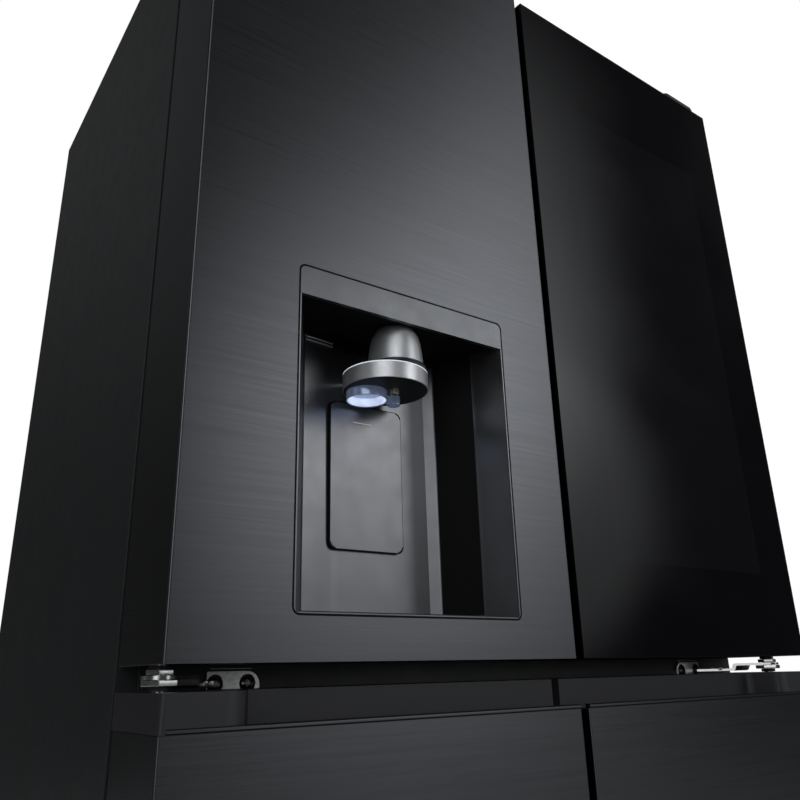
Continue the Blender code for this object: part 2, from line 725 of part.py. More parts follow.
def make_left_door(materials, parent):
    """Upper left door with the hole for its dispenser."""
    z = (UPPER_DOOR_BOTTOM, CABINET_TOP)
    panel = make_skin("left_door_panel", -1, z, materials["steel"], parent)
    hole_x = (DISPENSER_X[0] - 0.0006, DISPENSER_X[1] + 0.0006)
    hole_z = (DISPENSER_Z[0] - 0.0006, DISPENSER_Z[1] + 0.0006)
    pocket = box(hole_x, (FRONT_Y - OVERCUT, FRONT_Y + POCKET_DEPTH), hole_z)
    cut(panel, pocket.copy())
    low, high = z
    body = prism(body_plan(-1, DOOR_BACK_Y), "Z", low + 0.0005, high - 0.0005)
    body = piece("left_door_body", body, materials["door_body"], parent)
    ring_dike(body, -1, UPPER_DIKE_Z, UPPER_DIKE_OPENING_Z, UPPER_DIKE_Y)
    hole_top = high - PIN_REACH - 0.002
    hole_bottom = low + PIN_REACH + 0.002
    cut(body, pocket, pin_hole(-1, low - OVERCUT, hole_bottom), pin_hole(-1, hole_top, high + OVERCUT))
    make_gasket("left_door_gasket", -1, z, materials["gasket"], parent)


def housing_corners(x, z, depth, x_back, z_back, depth_back):
    """Eight corners of a tapering block: its front rectangle and its leaning back one."""
    front = [(u, FRONT_Y + depth, v) for u in x for v in z]
    back = [(u, FRONT_Y + depth_back[i], v) for u in x_back for i, v in enumerate(z_back)]
    return front + back


def make_dispenser(materials, door, paddle_axis):
    """Recessed tub with its top fascia, nozzle, ice funnel, water tip and paddle."""
    x, (low, high) = DISPENSER_X, DISPENSER_Z
    depths = (HOUSING_DEPTH, HOUSING_DEPTH)
    shell_back_x = (x[0] + 0.012, x[1] - 0.012)
    outer = housing_corners(x, (low, high), 0.0, shell_back_x, (low + 0.006, high), depths)
    tub = piece("dispenser_housing", hull(outer), materials["tub"], door)
    rim = 0.0022
    mouth_x = (x[0] + rim, x[1] - rim)
    back_x = (x[0] + 0.018, x[1] - 0.020)
    back_z = (low + 0.010, FASCIA_BOTTOM - 0.001)
    mouth = housing_corners(mouth_x, (low + rim, FASCIA_BOTTOM), 0.0, back_x, back_z, BACK_WALL_DEPTHS)
    fascia_seat_y = (FRONT_Y - OVERCUT, FRONT_Y + FASCIA_THICKNESS + GAP)
    pad_x = (PADDLE_X[0] - PADDLE_CLEARANCE, PADDLE_X[1] + PADDLE_CLEARANCE)
    pad_z = (PADDLE_Z[0] - PADDLE_CLEARANCE, PADDLE_Z[1] + PADDLE_CLEARANCE)
    cut(
        tub,
        hull(widened(mouth)),
        box((x[0] - OVERCUT, x[1] + OVERCUT), fascia_seat_y, (FASCIA_BOTTOM - GAP, high + OVERCUT)),
        box(pad_x, (PADDLE_Y[0] - 0.006, PADDLE_POCKET_Y), pad_z),
    )
    fascia = box(x, (FRONT_Y, FRONT_Y + FASCIA_THICKNESS), (FASCIA_BOTTOM, high))
    piece("dispenser_fascia", fascia, materials["fascia"], door)
    piece("dispenser_paddle", box(PADDLE_X, PADDLE_Y, PADDLE_Z), materials["tub"], paddle_axis)
    make_nozzle(materials, door)


def make_nozzle(materials, door):
    """Round nozzle under the fascia: its cowl, ring, ice outlet collar and water tip."""
    ring_low, ring_high = RING_Z
    height, chamfer = ring_high - ring_low, 0.001
    profile = [(0, 0), (RING_RADIUS, 0), (RING_RADIUS, height - chamfer), (RING_RADIUS - chamfer, height)]
    profile.append((0, height))
    ring = turned(profile, (*NOZZLE_CENTRE, ring_low), "Z", 32)
    smooth(piece("nozzle_ring", ring, materials["satin"], door))
    bottom, top = COWL_RADII
    low = ring_high + GAP
    height = FASCIA_BOTTOM - 0.0025 - low
    cowl = turned([(0, 0), (bottom, 0), (top, height), (0, height)], (*COWL_CENTRE, low), "Z", 28)
    smooth(piece("nozzle_cowl", cowl, materials["satin"], door))
    inner, outer = FUNNEL_RADII
    rim = [(inner, -FUNNEL_DROP), (outer, -FUNNEL_DROP), (outer, -GAP), (inner, -GAP)]
    smooth(piece("ice_funnel", turned(rim, (*FUNNEL_CENTRE, ring_low), "Z", 24), materials["clear"], door))
    tip = rod(WATER_TIP_CENTRE, WATER_TIP_RADIUS, ring_low - WATER_TIP_DROP, ring_low - GAP, "Z", 12)
    smooth(piece("water_tip", tip, materials["brass"], door))


def widened(corners):
    """The same tapering block carried on forward past its front rectangle, so that it cuts clean."""
    front, back = corners[:4], corners[4:]
    ahead = []
    for near, far in zip(front, back):
        outward = (Vector(near) - Vector(far)).normalized()
        ahead.append(tuple(Vector(near) + outward * OVERCUT))
    return front + back + ahead


def make_left_door_fittings(materials, parent, mullion_axis):
    """Ice maker and bin on the inner face, and the flap that closes the middle gap."""
    y = (DOOR_BACK_Y - DIKE_FLOOR + GAP, FRONT_Y + 0.215)
    ice_box = box((-0.385, -0.058), y, (1.240, UPPER_DIKE_OPENING_Z[1] - 0.002))
    piece("ice_maker_box", ice_box, materials["liner"], parent)
    bin_x, bin_z = (-0.386, -0.057), (0.900, 1.000)
    tray("left_door_bin", bin_x, (y[0], BIN_BACK_Y), bin_z, BIN_WALL, materials["clear"], parent)
    tip = MULLION_Y + MULLION_LENGTH
    outline = arc((MULLION_X, MULLION_Y), MULLION_RADIUS, 180, 360, 10)
    outline += [(MULLION_X + MULLION_RADIUS, tip), (MULLION_X - MULLION_RADIUS, tip)]
    flap = piece("centre_mullion", prism(outline, "Z", *MULLION_Z), materials["liner"], mullion_axis)
    smooth(flap)


def make_right_inner_frame(materials, parent):
    """Inner half of the right door: a foamed frame with bins hung across its opening."""
    low, high = UPPER_DOOR_BOTTOM, CABINET_TOP
    edge = HALF_WIDTH
    plan = [
        (SEAM_HALF, INNER_FRAME_Y),
        (edge - 0.032, INNER_FRAME_Y),
        (edge - 0.026, INNER_FRAME_Y + 0.004),
        (edge, INNER_FRAME_Y + 0.004),
        (edge, DOOR_BACK_Y),
        (SEAM_HALF, DOOR_BACK_Y),
    ]
    frame = piece("right_door_inner_frame", prism(plan, "Z", low, high), materials["door_body"], parent)
    join(frame, box(DIKE_X, (DOOR_BACK_Y - 0.001, UPPER_DIKE_Y), UPPER_DIKE_Z))
    opening_y = (INNER_FRAME_Y - OVERCUT, UPPER_DIKE_Y + OVERCUT)
    cut(frame, box(DIKE_OPENING_X, opening_y, UPPER_DIKE_OPENING_Z))
    make_gasket("right_door_gasket", 1, (low, high), materials["gasket"], parent)
    for name, z in (("right_door_bin_lower", 0.892), ("right_door_bin_upper", 1.290)):
        x = (DIKE_OPENING_X[0] + 0.001, DIKE_OPENING_X[1] - 0.001)
        y = (INNER_FRAME_Y + 0.006, BIN_BACK_Y)
        tray(name, x, y, (z, z + RIGHT_BIN_HEIGHT), BIN_WALL, materials["clear"], parent)


def make_outer_door(materials, parent):
    """Outer half of the right door: dark glass over a frame with a window."""
    low, high = UPPER_DOOR_BOTTOM, CABINET_TOP
    edge = HALF_WIDTH
    glass_y = (FRONT_Y, FRONT_Y + GLASS_THICKNESS)
    piece("outer_door_glass", box((SEAM_HALF, edge), glass_y, (low, high)), materials["glass"], parent)
    front = glass_y[1] + GAP
    back = OUTER_DOOR_BACK_Y
    plan = [
        (SEAM_HALF, front),
        (edge, front),
        (edge, PIVOT_Y),
        (edge - 0.011, back),
        (SEAM_HALF, back),
    ]
    frame = piece("outer_door_frame", prism(plan, "Z", low, high), materials["steel"], parent)
    hole_z = (low - OVERCUT, low + PIN_REACH + 0.002)
    top_z = (high - PIN_REACH - 0.002, high + OVERCUT)
    cut(
        frame,
        box(WINDOW_X, (FRONT_Y - OVERCUT, back + OVERCUT), WINDOW_Z),
        pin_hole(1, *hole_z),
        pin_hole(1, *top_z),
    )
    return frame


def make_lower_door(side, materials, parent):
    """Freezer door: steel front below a moulded pocket handle."""
    name = f"lower_{side_name(side)}"
    low, high = LOWER_DOOR_BOTTOM, LOWER_DOOR_TOP
    make_skin(f"{name}_panel", side, (low, LOWER_PANEL_TOP), materials["steel"], parent)
    body = prism(body_plan(side, DOOR_BACK_Y), "Z", low + 0.0005, LOWER_PANEL_TOP + 0.001)
    body = piece(f"{name}_body", body, materials["door_body"], parent)
    edge = (side * HALF_WIDTH, side * SEAM_HALF)
    block = skin_outline(*edge, FRONT_Y, DOOR_BACK_Y)
    join(body, prism(block, "Z", LOWER_PANEL_TOP + GAP, high))
    ring_dike(body, side, LOWER_DIKE_Z, LOWER_DIKE_OPENING_Z, LOWER_DIKE_Y)
    groove = [(SEAM_HALF - OVERCUT, FRONT_Y - OVERCUT), (GRIP_END_X + GRIP_CURVE, FRONT_Y - OVERCUT)]
    for i in range(7):
        t = i / 6
        x = GRIP_END_X + GRIP_CURVE * (1 - t)
        groove.append((x, FRONT_Y + GRIP_DEPTH * 0.5 * (1 - math.cos(math.pi * t))))
    groove.append((SEAM_HALF - OVERCUT, FRONT_Y + GRIP_DEPTH))
    groove = [(side * x, y) for x, y in groove]
    pocket_x = span(side, SEAM_HALF - OVERCUT, GRIP_END_X)
    pocket_y = (FRONT_Y + GRIP_LIP, FRONT_Y + GRIP_DEPTH)
    cut(
        body,
        prism(groove, "Z", LOWER_PANEL_TOP + 0.0002, high + OVERCUT),
        box(pocket_x, pocket_y, (GRIP_POCKET_Z, LOWER_PANEL_TOP + 0.002)),
        pin_hole(side, low - OVERCUT, low + PIN_REACH + 0.002),
        pin_hole(side, high - PIN_REACH - 0.002, high + OVERCUT),
    )
    make_gasket(f"{name}_gasket", side, (low, high), materials["gasket"], parent)


def main():
    clear_scene()
    materials = {
        "steel": finish("black_steel", (0.030, 0.031, 0.034), 0.34, 0.9),
        "door_body": finish("door_plastic", (0.035, 0.036, 0.038), 0.5),
        "gasket": finish("gasket_vinyl", (0.10, 0.10, 0.11), 0.7),
        "tub": finish("tub_plastic", (0.022, 0.023, 0.026), 0.38),
        "fascia": finish("fascia_plastic", (0.045, 0.046, 0.050), 0.36, 0.5),
        "satin": finish("satin_metal", (0.36, 0.36, 0.38), 0.30, 0.9),
        "brass": finish("water_tip_metal", (0.42, 0.40, 0.32), 0.30, 1.0),
        "glass": finish("door_glass", (0.008, 0.008, 0.010), 0.08),
        "shelf": finish("shelf_glass", (0.55, 0.60, 0.60), 0.15),
        "clear": finish("clear_plastic", (0.70, 0.74, 0.76), 0.15),
        "liner": finish("liner_plastic", (0.80, 0.80, 0.79), 0.35),
        "case": finish("case_paint", (0.030, 0.031, 0.033), 0.45, 0.3),
        "foam": finish("foam", (0.75, 0.68, 0.50), 0.9),
        "zinc": finish("zinc_steel", (0.55, 0.55, 0.56), 0.35, 1.0),
        "cover": finish("cover_plastic", (0.05, 0.05, 0.055), 0.5),
        "galvanised": finish("galvanised_steel", (0.45, 0.46, 0.47), 0.5, 0.9),
        "rubber": finish("foot_plastic", (0.03, 0.03, 0.03), 0.7),
    }
    make_outer_case(materials["case"])
    make_insulation(materials["foam"])
    make_liners(materials["liner"])
    make_centre_rail(materials["case"])
    make_base(materials["galvanised"], materials["cover"])
    make_back(materials["galvanised"], materials["cover"])
    make_interior(materials["shelf"], materials["clear"], materials["liner"])
    fan_axis = anchor("fan_axis", FAN_CENTRE)
    make_machinery(materials["cover"], materials["rubber"], fan_axis)
    for side in (-1, 1):
        make_top_hinge(side, materials["zinc"], materials["cover"])
        make_middle_hinge(side, materials["zinc"])
        make_hinge_nut(side, materials["zinc"])
        make_bottom_hinge(side, materials["zinc"])
        make_foot(side, materials["rubber"])
        make_roller(side, materials["rubber"])
        lower_axis = anchor(f"lower_{side_name(side)}_axis", (side * PIVOT_X, PIVOT_Y, LOWER_DOOR_BOTTOM))
        make_lower_door(side, materials, lower_axis)
    left_axis = anchor("left_door_axis", (-PIVOT_X, PIVOT_Y, UPPER_DOOR_BOTTOM))
    right_axis = anchor("right_door_axis", (PIVOT_X, PIVOT_Y, UPPER_DOOR_BOTTOM))
    outer_axis = anchor("outer_door_axis", (PIVOT_X, PIVOT_Y, UPPER_DOOR_BOTTOM))
    paddle_axis = anchor("paddle_axis", PADDLE_PIVOT)
    mullion_axis = anchor("mullion_axis", (MULLION_X, MULLION_Y, MULLION_Z[0]))
    make_left_door(materials, left_axis)
    make_dispenser(materials, left_axis, paddle_axis)
    make_left_door_fittings(materials, left_axis, mullion_axis)
    make_right_inner_frame(materials, right_axis)
    make_outer_door(materials, outer_axis)


main()
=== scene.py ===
"""Looks of the four-door french door refrigerator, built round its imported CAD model.

Metres, +Z up, doors facing -Y, as in the CAD. Each section makes the pieces of one part of the
appliance, and every piece rides on the CAD body that it belongs to.
"""

import json
import math

import bmesh
import bpy
from mathutils import Matrix, Vector


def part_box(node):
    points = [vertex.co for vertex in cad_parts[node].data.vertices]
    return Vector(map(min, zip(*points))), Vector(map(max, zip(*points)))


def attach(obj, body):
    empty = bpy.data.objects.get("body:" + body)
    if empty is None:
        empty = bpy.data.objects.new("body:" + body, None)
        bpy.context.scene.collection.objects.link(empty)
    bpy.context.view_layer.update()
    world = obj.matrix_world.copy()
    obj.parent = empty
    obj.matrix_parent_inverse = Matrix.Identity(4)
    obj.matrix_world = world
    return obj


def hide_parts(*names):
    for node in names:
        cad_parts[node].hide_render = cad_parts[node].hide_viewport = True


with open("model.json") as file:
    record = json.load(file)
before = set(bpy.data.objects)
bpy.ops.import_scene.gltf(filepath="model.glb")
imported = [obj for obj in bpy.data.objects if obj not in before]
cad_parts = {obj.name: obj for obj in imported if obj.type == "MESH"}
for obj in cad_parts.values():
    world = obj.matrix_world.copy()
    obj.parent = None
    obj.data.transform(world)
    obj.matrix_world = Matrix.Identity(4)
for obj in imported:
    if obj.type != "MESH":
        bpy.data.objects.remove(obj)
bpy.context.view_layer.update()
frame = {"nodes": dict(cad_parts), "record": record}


def limits(node, axis):
    """Lowest and highest place of a CAD node along axis 0, 1 or 2."""
    low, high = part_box(node)
    return low[axis], high[axis]


def middle_of(node):
    """Middle of a CAD node's box."""
    low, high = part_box(node)
    return tuple((a + b) / 2 for a, b in zip(low, high))


# Places taken from the frame
LEFT_X, SEAM_LEFT_X = limits("left_door_panel", 0)
FRONT_Y, SKIN_BACK_Y = limits("left_door_panel", 1)
UPPER_Z, DOOR_TOP_Z = limits("left_door_panel", 2)
LOWER_Z, LOWER_TOP_Z = limits("lower_left_panel", 2)
CASE_FRONT_Y = limits("outer_case", 1)[0]
WINDOW_X = (0.08, 0.382)
WINDOW_Z = (UPPER_Z + 0.1085, UPPER_Z + 0.767)
PIVOT_X = 0.441
PIVOT_Y = FRONT_Y + 0.048
LOWER_PIN_Z = LOWER_TOP_Z + 0.0135
FAN_CENTRE = (-0.15, 0.24, 0.155)
SHEET = 0.0012
SIDES = ((-1, "left"), (1, "right"))
REPLACED = set()


# --- Mesh building ---

AXIS_TURN = {
    "X": Matrix(((0, 0, 1), (1, 0, 0), (0, 1, 0))),
    "Y": Matrix(((1, 0, 0), (0, 0, 1), (0, 1, 0))),
    "Z": Matrix.Identity(3),
}


def arc(centre, radius, start, end, steps):
    """Points along an arc, in degrees, both ends included."""
    turns = [math.radians(start + (end - start) * i / steps) for i in range(steps + 1)]
    return [(centre[0] + radius * math.cos(a), centre[1] + radius * math.sin(a)) for a in turns]


def circle(centre, radius, steps=32):
    """Points round a whole circle."""
    return arc(centre, radius, 0, 360, steps)[:-1]


def fillet(corners, radii, steps=6, closed=True):
    """The polygon or line through these corners with each corner rounded by its own radius."""
    count = len(corners)
    if not hasattr(radii, "__len__"):
        radii = [radii] * count
    points = []
    for i, (corner, radius) in enumerate(zip(corners, radii)):
        here = Vector(corner)
        at_end = not closed and i in (0, count - 1)
        if at_end or radius <= 0:
            points.append(tuple(here))
            continue
        before = (Vector(corners[i - 1]) - here).normalized()
        after = (Vector(corners[(i + 1) % count]) - here).normalized()
        half_angle = before.angle(after) / 2
        reach = radius / math.tan(half_angle)
        start, end = here + before * reach, here + after * reach
        middle = here + (before + after).normalized() * (radius / math.sin(half_angle))
        a, b = start - middle, end - middle
        sweep = a.angle(b)
        for k in range(steps + 1):
            t = k / steps
            turned = (a * math.sin((1 - t) * sweep) + b * math.sin(t * sweep)) / math.sin(sweep)
            points.append(tuple(middle + turned))
    return points


def rectangle(u, v):
    """Corners of a rectangle between two pairs of limits."""
    return [(u[0], v[0]), (u[1], v[0]), (u[1], v[1]), (u[0], v[1])]


def hexagon(centre, radius, turn=0):
    """Six corners, with their edges taken off, of a nut that is turned by an angle."""
    return fillet(arc(centre, radius, turn, turn + 360, 6)[:-1], 0.0008, 2)


def grown(span, amount):
    """A pair of limits moved outward by an amount, or inward by a negative one."""
    return span[0] - amount, span[1] + amount


class Shape:
    """A piece's mesh, put together from closed solids."""

    def __init__(self):
        self.mesh = bmesh.new()

    def loft(self, rings, closed=True, caps=True):
        """Faces between rings of equally many points, and over the first and the last ring."""
        rows = [[self.mesh.verts.new(point) for point in ring] for ring in rings]
        made = []
        for a, b in zip(rows, rows[1:]):
            for i in range(len(a) if closed else len(a) - 1):
                j = (i + 1) % len(a)
                made.append(self.mesh.faces.new((a[i], a[j], b[j], b[i])))
        if caps:
            made.append(self.mesh.faces.new(rows[0][::-1]))
            made.append(self.mesh.faces.new(rows[-1]))
        return made

    def sweep(self, outline, axis, low, high, edge=0.0, steps=2):
        """A flat outline carried along an axis, with its end edges rounded."""
        turn = AXIS_TURN[axis]
        rings = [[turn @ Vector((u, v, w)) for u, v in outline] for w in (low, high)]
        made = self.loft(rings)
        if edge:
            ends = {e for face in made[-2:] for e in face.edges}
            self.bevel(ends, edge, steps)
        return self

    def block(self, x, y, z, edge=0.001, steps=2):
        """A block between pairs of limits, with every edge rounded."""
        (x0, x1), (y0, y1), (z0, z1) = sorted(x), sorted(y), sorted(z)
        rings = [[(u, v, w) for u, v in rectangle((x0, x1), (y0, y1))] for w in (z0, z1)]
        made = self.loft(rings)
        if edge:
            self.bevel({e for face in made for e in face.edges}, edge, steps)
        return self

    def bevel(self, edges, width, steps):
        bmesh.ops.bevel(
            self.mesh, geom=list(edges), offset=width, segments=steps, profile=0.5, affect="EDGES",
            clamp_overlap=True,
        )

    def lathe(self, profile, place, axis="Z", steps=48):
        """A closed (radius, height) profile turned about an axis through a place."""
        turn, place = AXIS_TURN[axis], Vector(place)
        rings = []
        for i in range(steps + 1):
            c, s = math.cos(2 * math.pi * i / steps), math.sin(2 * math.pi * i / steps)
            rings.append([turn @ Vector((r * c, r * s, h)) + place for r, h in profile])
        self.loft(rings, caps=False)
        return self

    def tube(self, path, radius, steps=12):
        """A round bar or pipe along a line of points, closed at both ends."""
        points = [Vector(p) for p in path]
        along = [(b - a).normalized() for a, b in zip(points, points[1:])]
        side = along[0].orthogonal().normalized()
        rings = []
        for i, point in enumerate(points):
            before, after = along[max(i - 1, 0)], along[min(i, len(along) - 1)]
            heading = (before + after).normalized()
            side = (side - heading * side.dot(heading)).normalized()
            across = heading.cross(side)
            turns = [2 * math.pi * k / steps for k in range(steps)]
            rings.append([point + (side * math.cos(a) + across * math.sin(a)) * radius for a in turns])
        self.loft(rings)
        return self

    def frame(self, path, profile):
        """A closed (out, along) profile carried round a closed outline that faces along y."""
        turn = AXIS_TURN["Y"]
        count = len(path)
        rings = []
        for i in range(count + 1):
            here = Vector(path[i % count])
            a = (here - Vector(path[i - 1 if i % count else count - 1])).normalized()
            b = (Vector(path[(i + 1) % count]) - here).normalized()
            out = Vector((a.y + b.y, -a.x - b.x)).normalized()
            out /= max(out.dot(Vector((a.y, -a.x))), 0.3)
            ring = [here + out * u for u, _ in profile]
            rings.append([turn @ Vector((p.x, p.y, w)) for p, (_, w) in zip(ring, profile)])
        self.loft(rings, caps=False)
        return self

    def tub(self, x, y, z, wall, lean, rim, corner=0.014):
        """An open box with round corners, walls that lean in towards its floor, and a rolled rim."""
        (x0, x1), (y0, y1), (z0, z1) = sorted(x), sorted(y), sorted(z)

        def level(inset, height):
            outline = rectangle((x0 + inset, x1 - inset), (y0 + inset, y1 - inset))
            return [(u, v, height) for u, v in fillet(outline, max(corner - inset, 0.002), 5)]

        outside = [(lean + 0.0025, z0), (lean + 0.0006, z0 + 0.0008), (lean, z0 + 0.003), (rim, z1 - 0.0068)]
        over = [(0.0006, z1 - 0.0062), (0.0, z1 - 0.0054), (0.0, z1 - 0.0008), (0.0008, z1)]
        inside = [(rim + wall - 0.0006, z1), (rim + wall, z1 - 0.0008), (lean + wall, z0 + wall + 0.003)]
        floor = [(lean + wall + 0.003, z0 + wall)]
        self.loft([level(*pair) for pair in outside + over + inside + floor])
        return self

    def object(self, name):
        """The finished mesh as an object, with shared points merged and its faces turned outward."""
        bmesh.ops.remove_doubles(self.mesh, verts=self.mesh.verts, dist=2e-6)
        bmesh.ops.dissolve_degenerate(self.mesh, edges=self.mesh.edges, dist=1e-7)
        bmesh.ops.recalc_face_normals(self.mesh, faces=self.mesh.faces)
        data = bpy.data.meshes.new(name)
        self.mesh.to_mesh(data)
        self.mesh.free()
        obj = bpy.data.objects.new(name, data)
        bpy.context.scene.collection.objects.link(obj)
        return obj

    def piece(self, name, body, look, *replaced, angle=40):
        """The finished mesh as a piece that rides on a body and may stand for CAD nodes."""
        return finish_piece(self.object(name), body, look, *replaced, angle=angle)


def shade(obj, angle):
    """Smooth faces with sharp edges where they turn by more than an angle, and flats kept flat."""
    obj.data.shade_smooth()
    obj.data.set_sharp_from_angle(angle=math.radians(angle))
    weighted = obj.modifiers.new("weighted_normals", "WEIGHTED_NORMAL")
    weighted.keep_sharp = True


def finish_piece(obj, body, look, *replaced, angle=40):
    """Gives a piece its shading and material, and sets it on its body."""
    shade(obj, angle)
    grain_map(obj.data)
    obj.data.materials.append(MATERIALS[look])
    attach(obj, body)
    if replaced:
        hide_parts(*replaced)
        REPLACED.update(replaced)
    return obj


def grain_map(data):
    """A UV map that runs up the height of the appliance, which the brushed grain lies across."""
    layer = data.uv_layers.new(name="grain")
    for loop in data.loops:
        point = data.vertices[loop.vertex_index].co
        layer.data[loop.index].uv = (point.z + 0.01 * point.y, point.x + point.y)


def combined(obj, operation, *shapes):
    """Cuts, joins or intersects an object with closed shapes and keeps the result as its mesh."""
    tools = [shape.object(f"tool_{i}") for i, shape in enumerate(shapes)]
    for tool in tools:
        modifier = obj.modifiers.new("boolean", "BOOLEAN")
        modifier.operation = operation
        modifier.object = tool
        modifier.solver = "EXACT"
    graph = bpy.context.evaluated_depsgraph_get()
    result = bpy.data.meshes.new_from_object(obj.evaluated_get(graph))
    obj.modifiers.clear()
    obj.data = result
    for tool in tools:
        bpy.data.objects.remove(tool)
    return obj


def carve(obj, *shapes):
    """Cuts closed shapes out of an object."""
    return combined(obj, "DIFFERENCE", *shapes)


def round_edges(obj, width, steps=2, angle=35):
    """Rounds the sharp edges that a cut leaves."""
    modifier = obj.modifiers.new("rounded_edges", "BEVEL")
    modifier.width = width
    modifier.segments = steps
    modifier.limit_method = "ANGLE"
    modifier.angle_limit = math.radians(angle)
    return obj


# --- Materials ---

MATERIALS = {}


def add_node(tree, kind, inputs, **settings):
    """A shader node whose inputs are set to a value or linked to a socket."""
    node = tree.nodes.new("ShaderNode" + kind)
    for key, value in settings.items():
        setattr(node, key, value)
    for key, value in inputs.items():
        if isinstance(value, bpy.types.NodeSocket):
            tree.links.new(value, node.inputs[key])
        else:
            node.inputs[key].default_value = value
    return node


class Look:
    """Builds one material: a Principled shader with patterns that follow the piece."""

    def __init__(self, slot, colour, roughness, metallic=0.0, sockets=None):
        self.material = bpy.data.materials.new(slot)
        self.material.use_nodes = True
        self.tree = self.material.node_tree
        self.shader = self.tree.nodes["Principled BSDF"]
        self.colour = colour
        values = {"Base Color": (*colour, 1.0), "Roughness": roughness, "Metallic": metallic}
        for socket, value in {**values, **(sockets or {})}.items():
            self.shader.inputs[socket].default_value = value
        self.place = self.node("TexCoord").outputs["Object"]
        self.material.diffuse_color = (*colour, 1.0)
        MATERIALS[slot] = self.material

    def node(self, kind, inputs=None, **settings):
        return add_node(self.tree, kind, inputs or {}, **settings)

    def noise(self, per_metre, detail=3.0):
        """Noise with this many features in a metre, the same each way or for x, y and z."""
        if not hasattr(per_metre, "__len__"):
            per_metre = (per_metre,) * 3
        scaled = self.node("Mapping", {"Vector": self.place, "Scale": per_metre})
        inputs = {"Vector": scaled.outputs[0], "Scale": 1.0, "Detail": detail}
        return self.node("TexNoise", inputs).outputs["Fac"]

    def cells(self, per_metre):
        return self.node("TexVoronoi", {"Vector": self.place, "Scale": per_metre}).outputs["Distance"]

    def scaled(self, value, low, high, start=0.3, end=0.7):
        inputs = {"Value": value, "From Min": start, "From Max": end, "To Min": low, "To Max": high}
        return self.node("MapRange", inputs).outputs["Result"]

    def tint(self, value, dark=0.85, light=1.15, start=0.3, end=0.7):
        """Lets the base colour run between two shares of itself."""
        mixer = self.node("Mix", data_type="RGBA")
        mixer.inputs[6].default_value = (*(c * dark for c in self.colour), 1.0)
        mixer.inputs[7].default_value = (*(min(c * light, 1.0) for c in self.colour), 1.0)
        self.tree.links.new(self.scaled(value, 0.0, 1.0, start, end), mixer.inputs[0])
        self.tree.links.new(mixer.outputs[2], self.shader.inputs["Base Color"])

    def rough(self, value, low, high):
        self.tree.links.new(self.scaled(value, low, high), self.shader.inputs["Roughness"])

    def bump(self, height, distance, strength=1.0):
        """Relief of this many metres. A second call lies on top of the first."""
        inputs = {"Height": height, "Distance": distance, "Strength": strength}
        target = self.shader.inputs["Normal"]
        if target.is_linked:
            inputs["Normal"] = target.links[0].from_socket
        self.tree.links.new(self.node("Bump", inputs).outputs[0], target)

    def along_grain(self, amount):
        """Stretches reflections across the brushed grain."""
        self.shader.inputs["Anisotropic"].default_value = amount
        tangent = self.node("Tangent", direction_type="UV_MAP", uv_map="grain")
        self.tree.links.new(tangent.outputs[0], self.shader.inputs["Tangent"])


def brushed_steel(slot, colour, roughness, contrast, relief):
    """Sheet steel with a horizontal brushed grain: fine lines, and fainter long streaks."""
    look = Look(slot, colour, roughness, 1.0)
    fine = look.noise((9.0, 9.0, 1700.0), 4.0)
    streaks = look.noise((3.0, 3.0, 260.0), 5.0)
    look.tint(streaks, 1 - contrast, 1 + contrast)
    look.rough(fine, roughness - 0.03, roughness + 0.04)
    look.bump(fine, relief)
    look.along_grain(0.6)


def moulded(slot, colour, roughness, grain=1400.0, relief=0.00003, sockets=None, metallic=0.0):
    """Injection-moulded plastic with a fine even grain and a slight unevenness of gloss."""
    look = Look(slot, colour, roughness, metallic, sockets)
    look.tint(look.noise(14.0), 0.93, 1.07)
    look.rough(look.noise(40.0), roughness - 0.03, roughness + 0.03)
    look.bump(look.cells(grain), relief)


def plated(slot, colour, roughness, patches=60.0, contrast=0.08, metallic=1.0, relief=0.000004):
    """Plated or satin metal, with a soft mottle."""
    look = Look(slot, colour, roughness, metallic)
    look.tint(look.noise((patches, patches, patches), 4.0), 1 - contrast, 1 + contrast)
    look.rough(look.noise(300.0), roughness - 0.05, roughness + 0.05)
    look.bump(look.noise(1500.0), relief)


def galvanised(slot, colour):
    """Zinc-coated sheet with the crystal pattern of its coating."""
    look = Look(slot, colour, 0.45, 0.9)
    crystals = look.node("TexVoronoi", {"Vector": look.place, "Scale": 140.0}).outputs["Color"]
    value = look.node("SeparateColor", {"Color": crystals}).outputs[0]
    look.tint(value, 0.72, 1.12, 0.0, 1.0)
    look.tree.links.new(look.scaled(value, 0.36, 0.56, 0.0, 1.0), look.shader.inputs["Roughness"])


def clear_sheet(slot, colour, roughness, transmission):
    """Glass or clear plastic that carries faint smears."""
    look = Look(slot, colour, roughness, 0.0, {"Transmission Weight": transmission, "IOR": 1.47})
    look.tint(look.noise(20.0), 0.96, 1.03)
    look.rough(look.noise((9.0, 9.0, 30.0), 5.0), roughness, roughness + 0.03)


def tinted_glass(slot, colour):
    """Dark door glass: printed black round a window that is a little lighter."""
    look = Look(slot, colour, 0.07, 0.0, {"IOR": 1.36})
    look.rough(look.noise((7.0, 7.0, 12.0), 5.0), 0.06, 0.11)
    x, _, z = look.node("SeparateXYZ", {"Vector": look.place}).outputs

    def calculate(operation, a, b):
        return look.node("Math", {0: a, 1: b}, operation=operation).outputs[0]

    share = 1.0
    for value, (low, high) in ((x, WINDOW_X), (z, WINDOW_Z)):
        for edge, way in ((low, 1), (high, -1)):
            side = look.scaled(value, 0.0, 1.0, edge - way * 0.001, edge + way * 0.001)
            share = calculate("MULTIPLY", share, side)
    smears = look.scaled(look.noise(25.0), 0.0, 0.25)
    look.tint(calculate("ADD", share, smears), 0.9, 2.1, 0.0, 1.25)


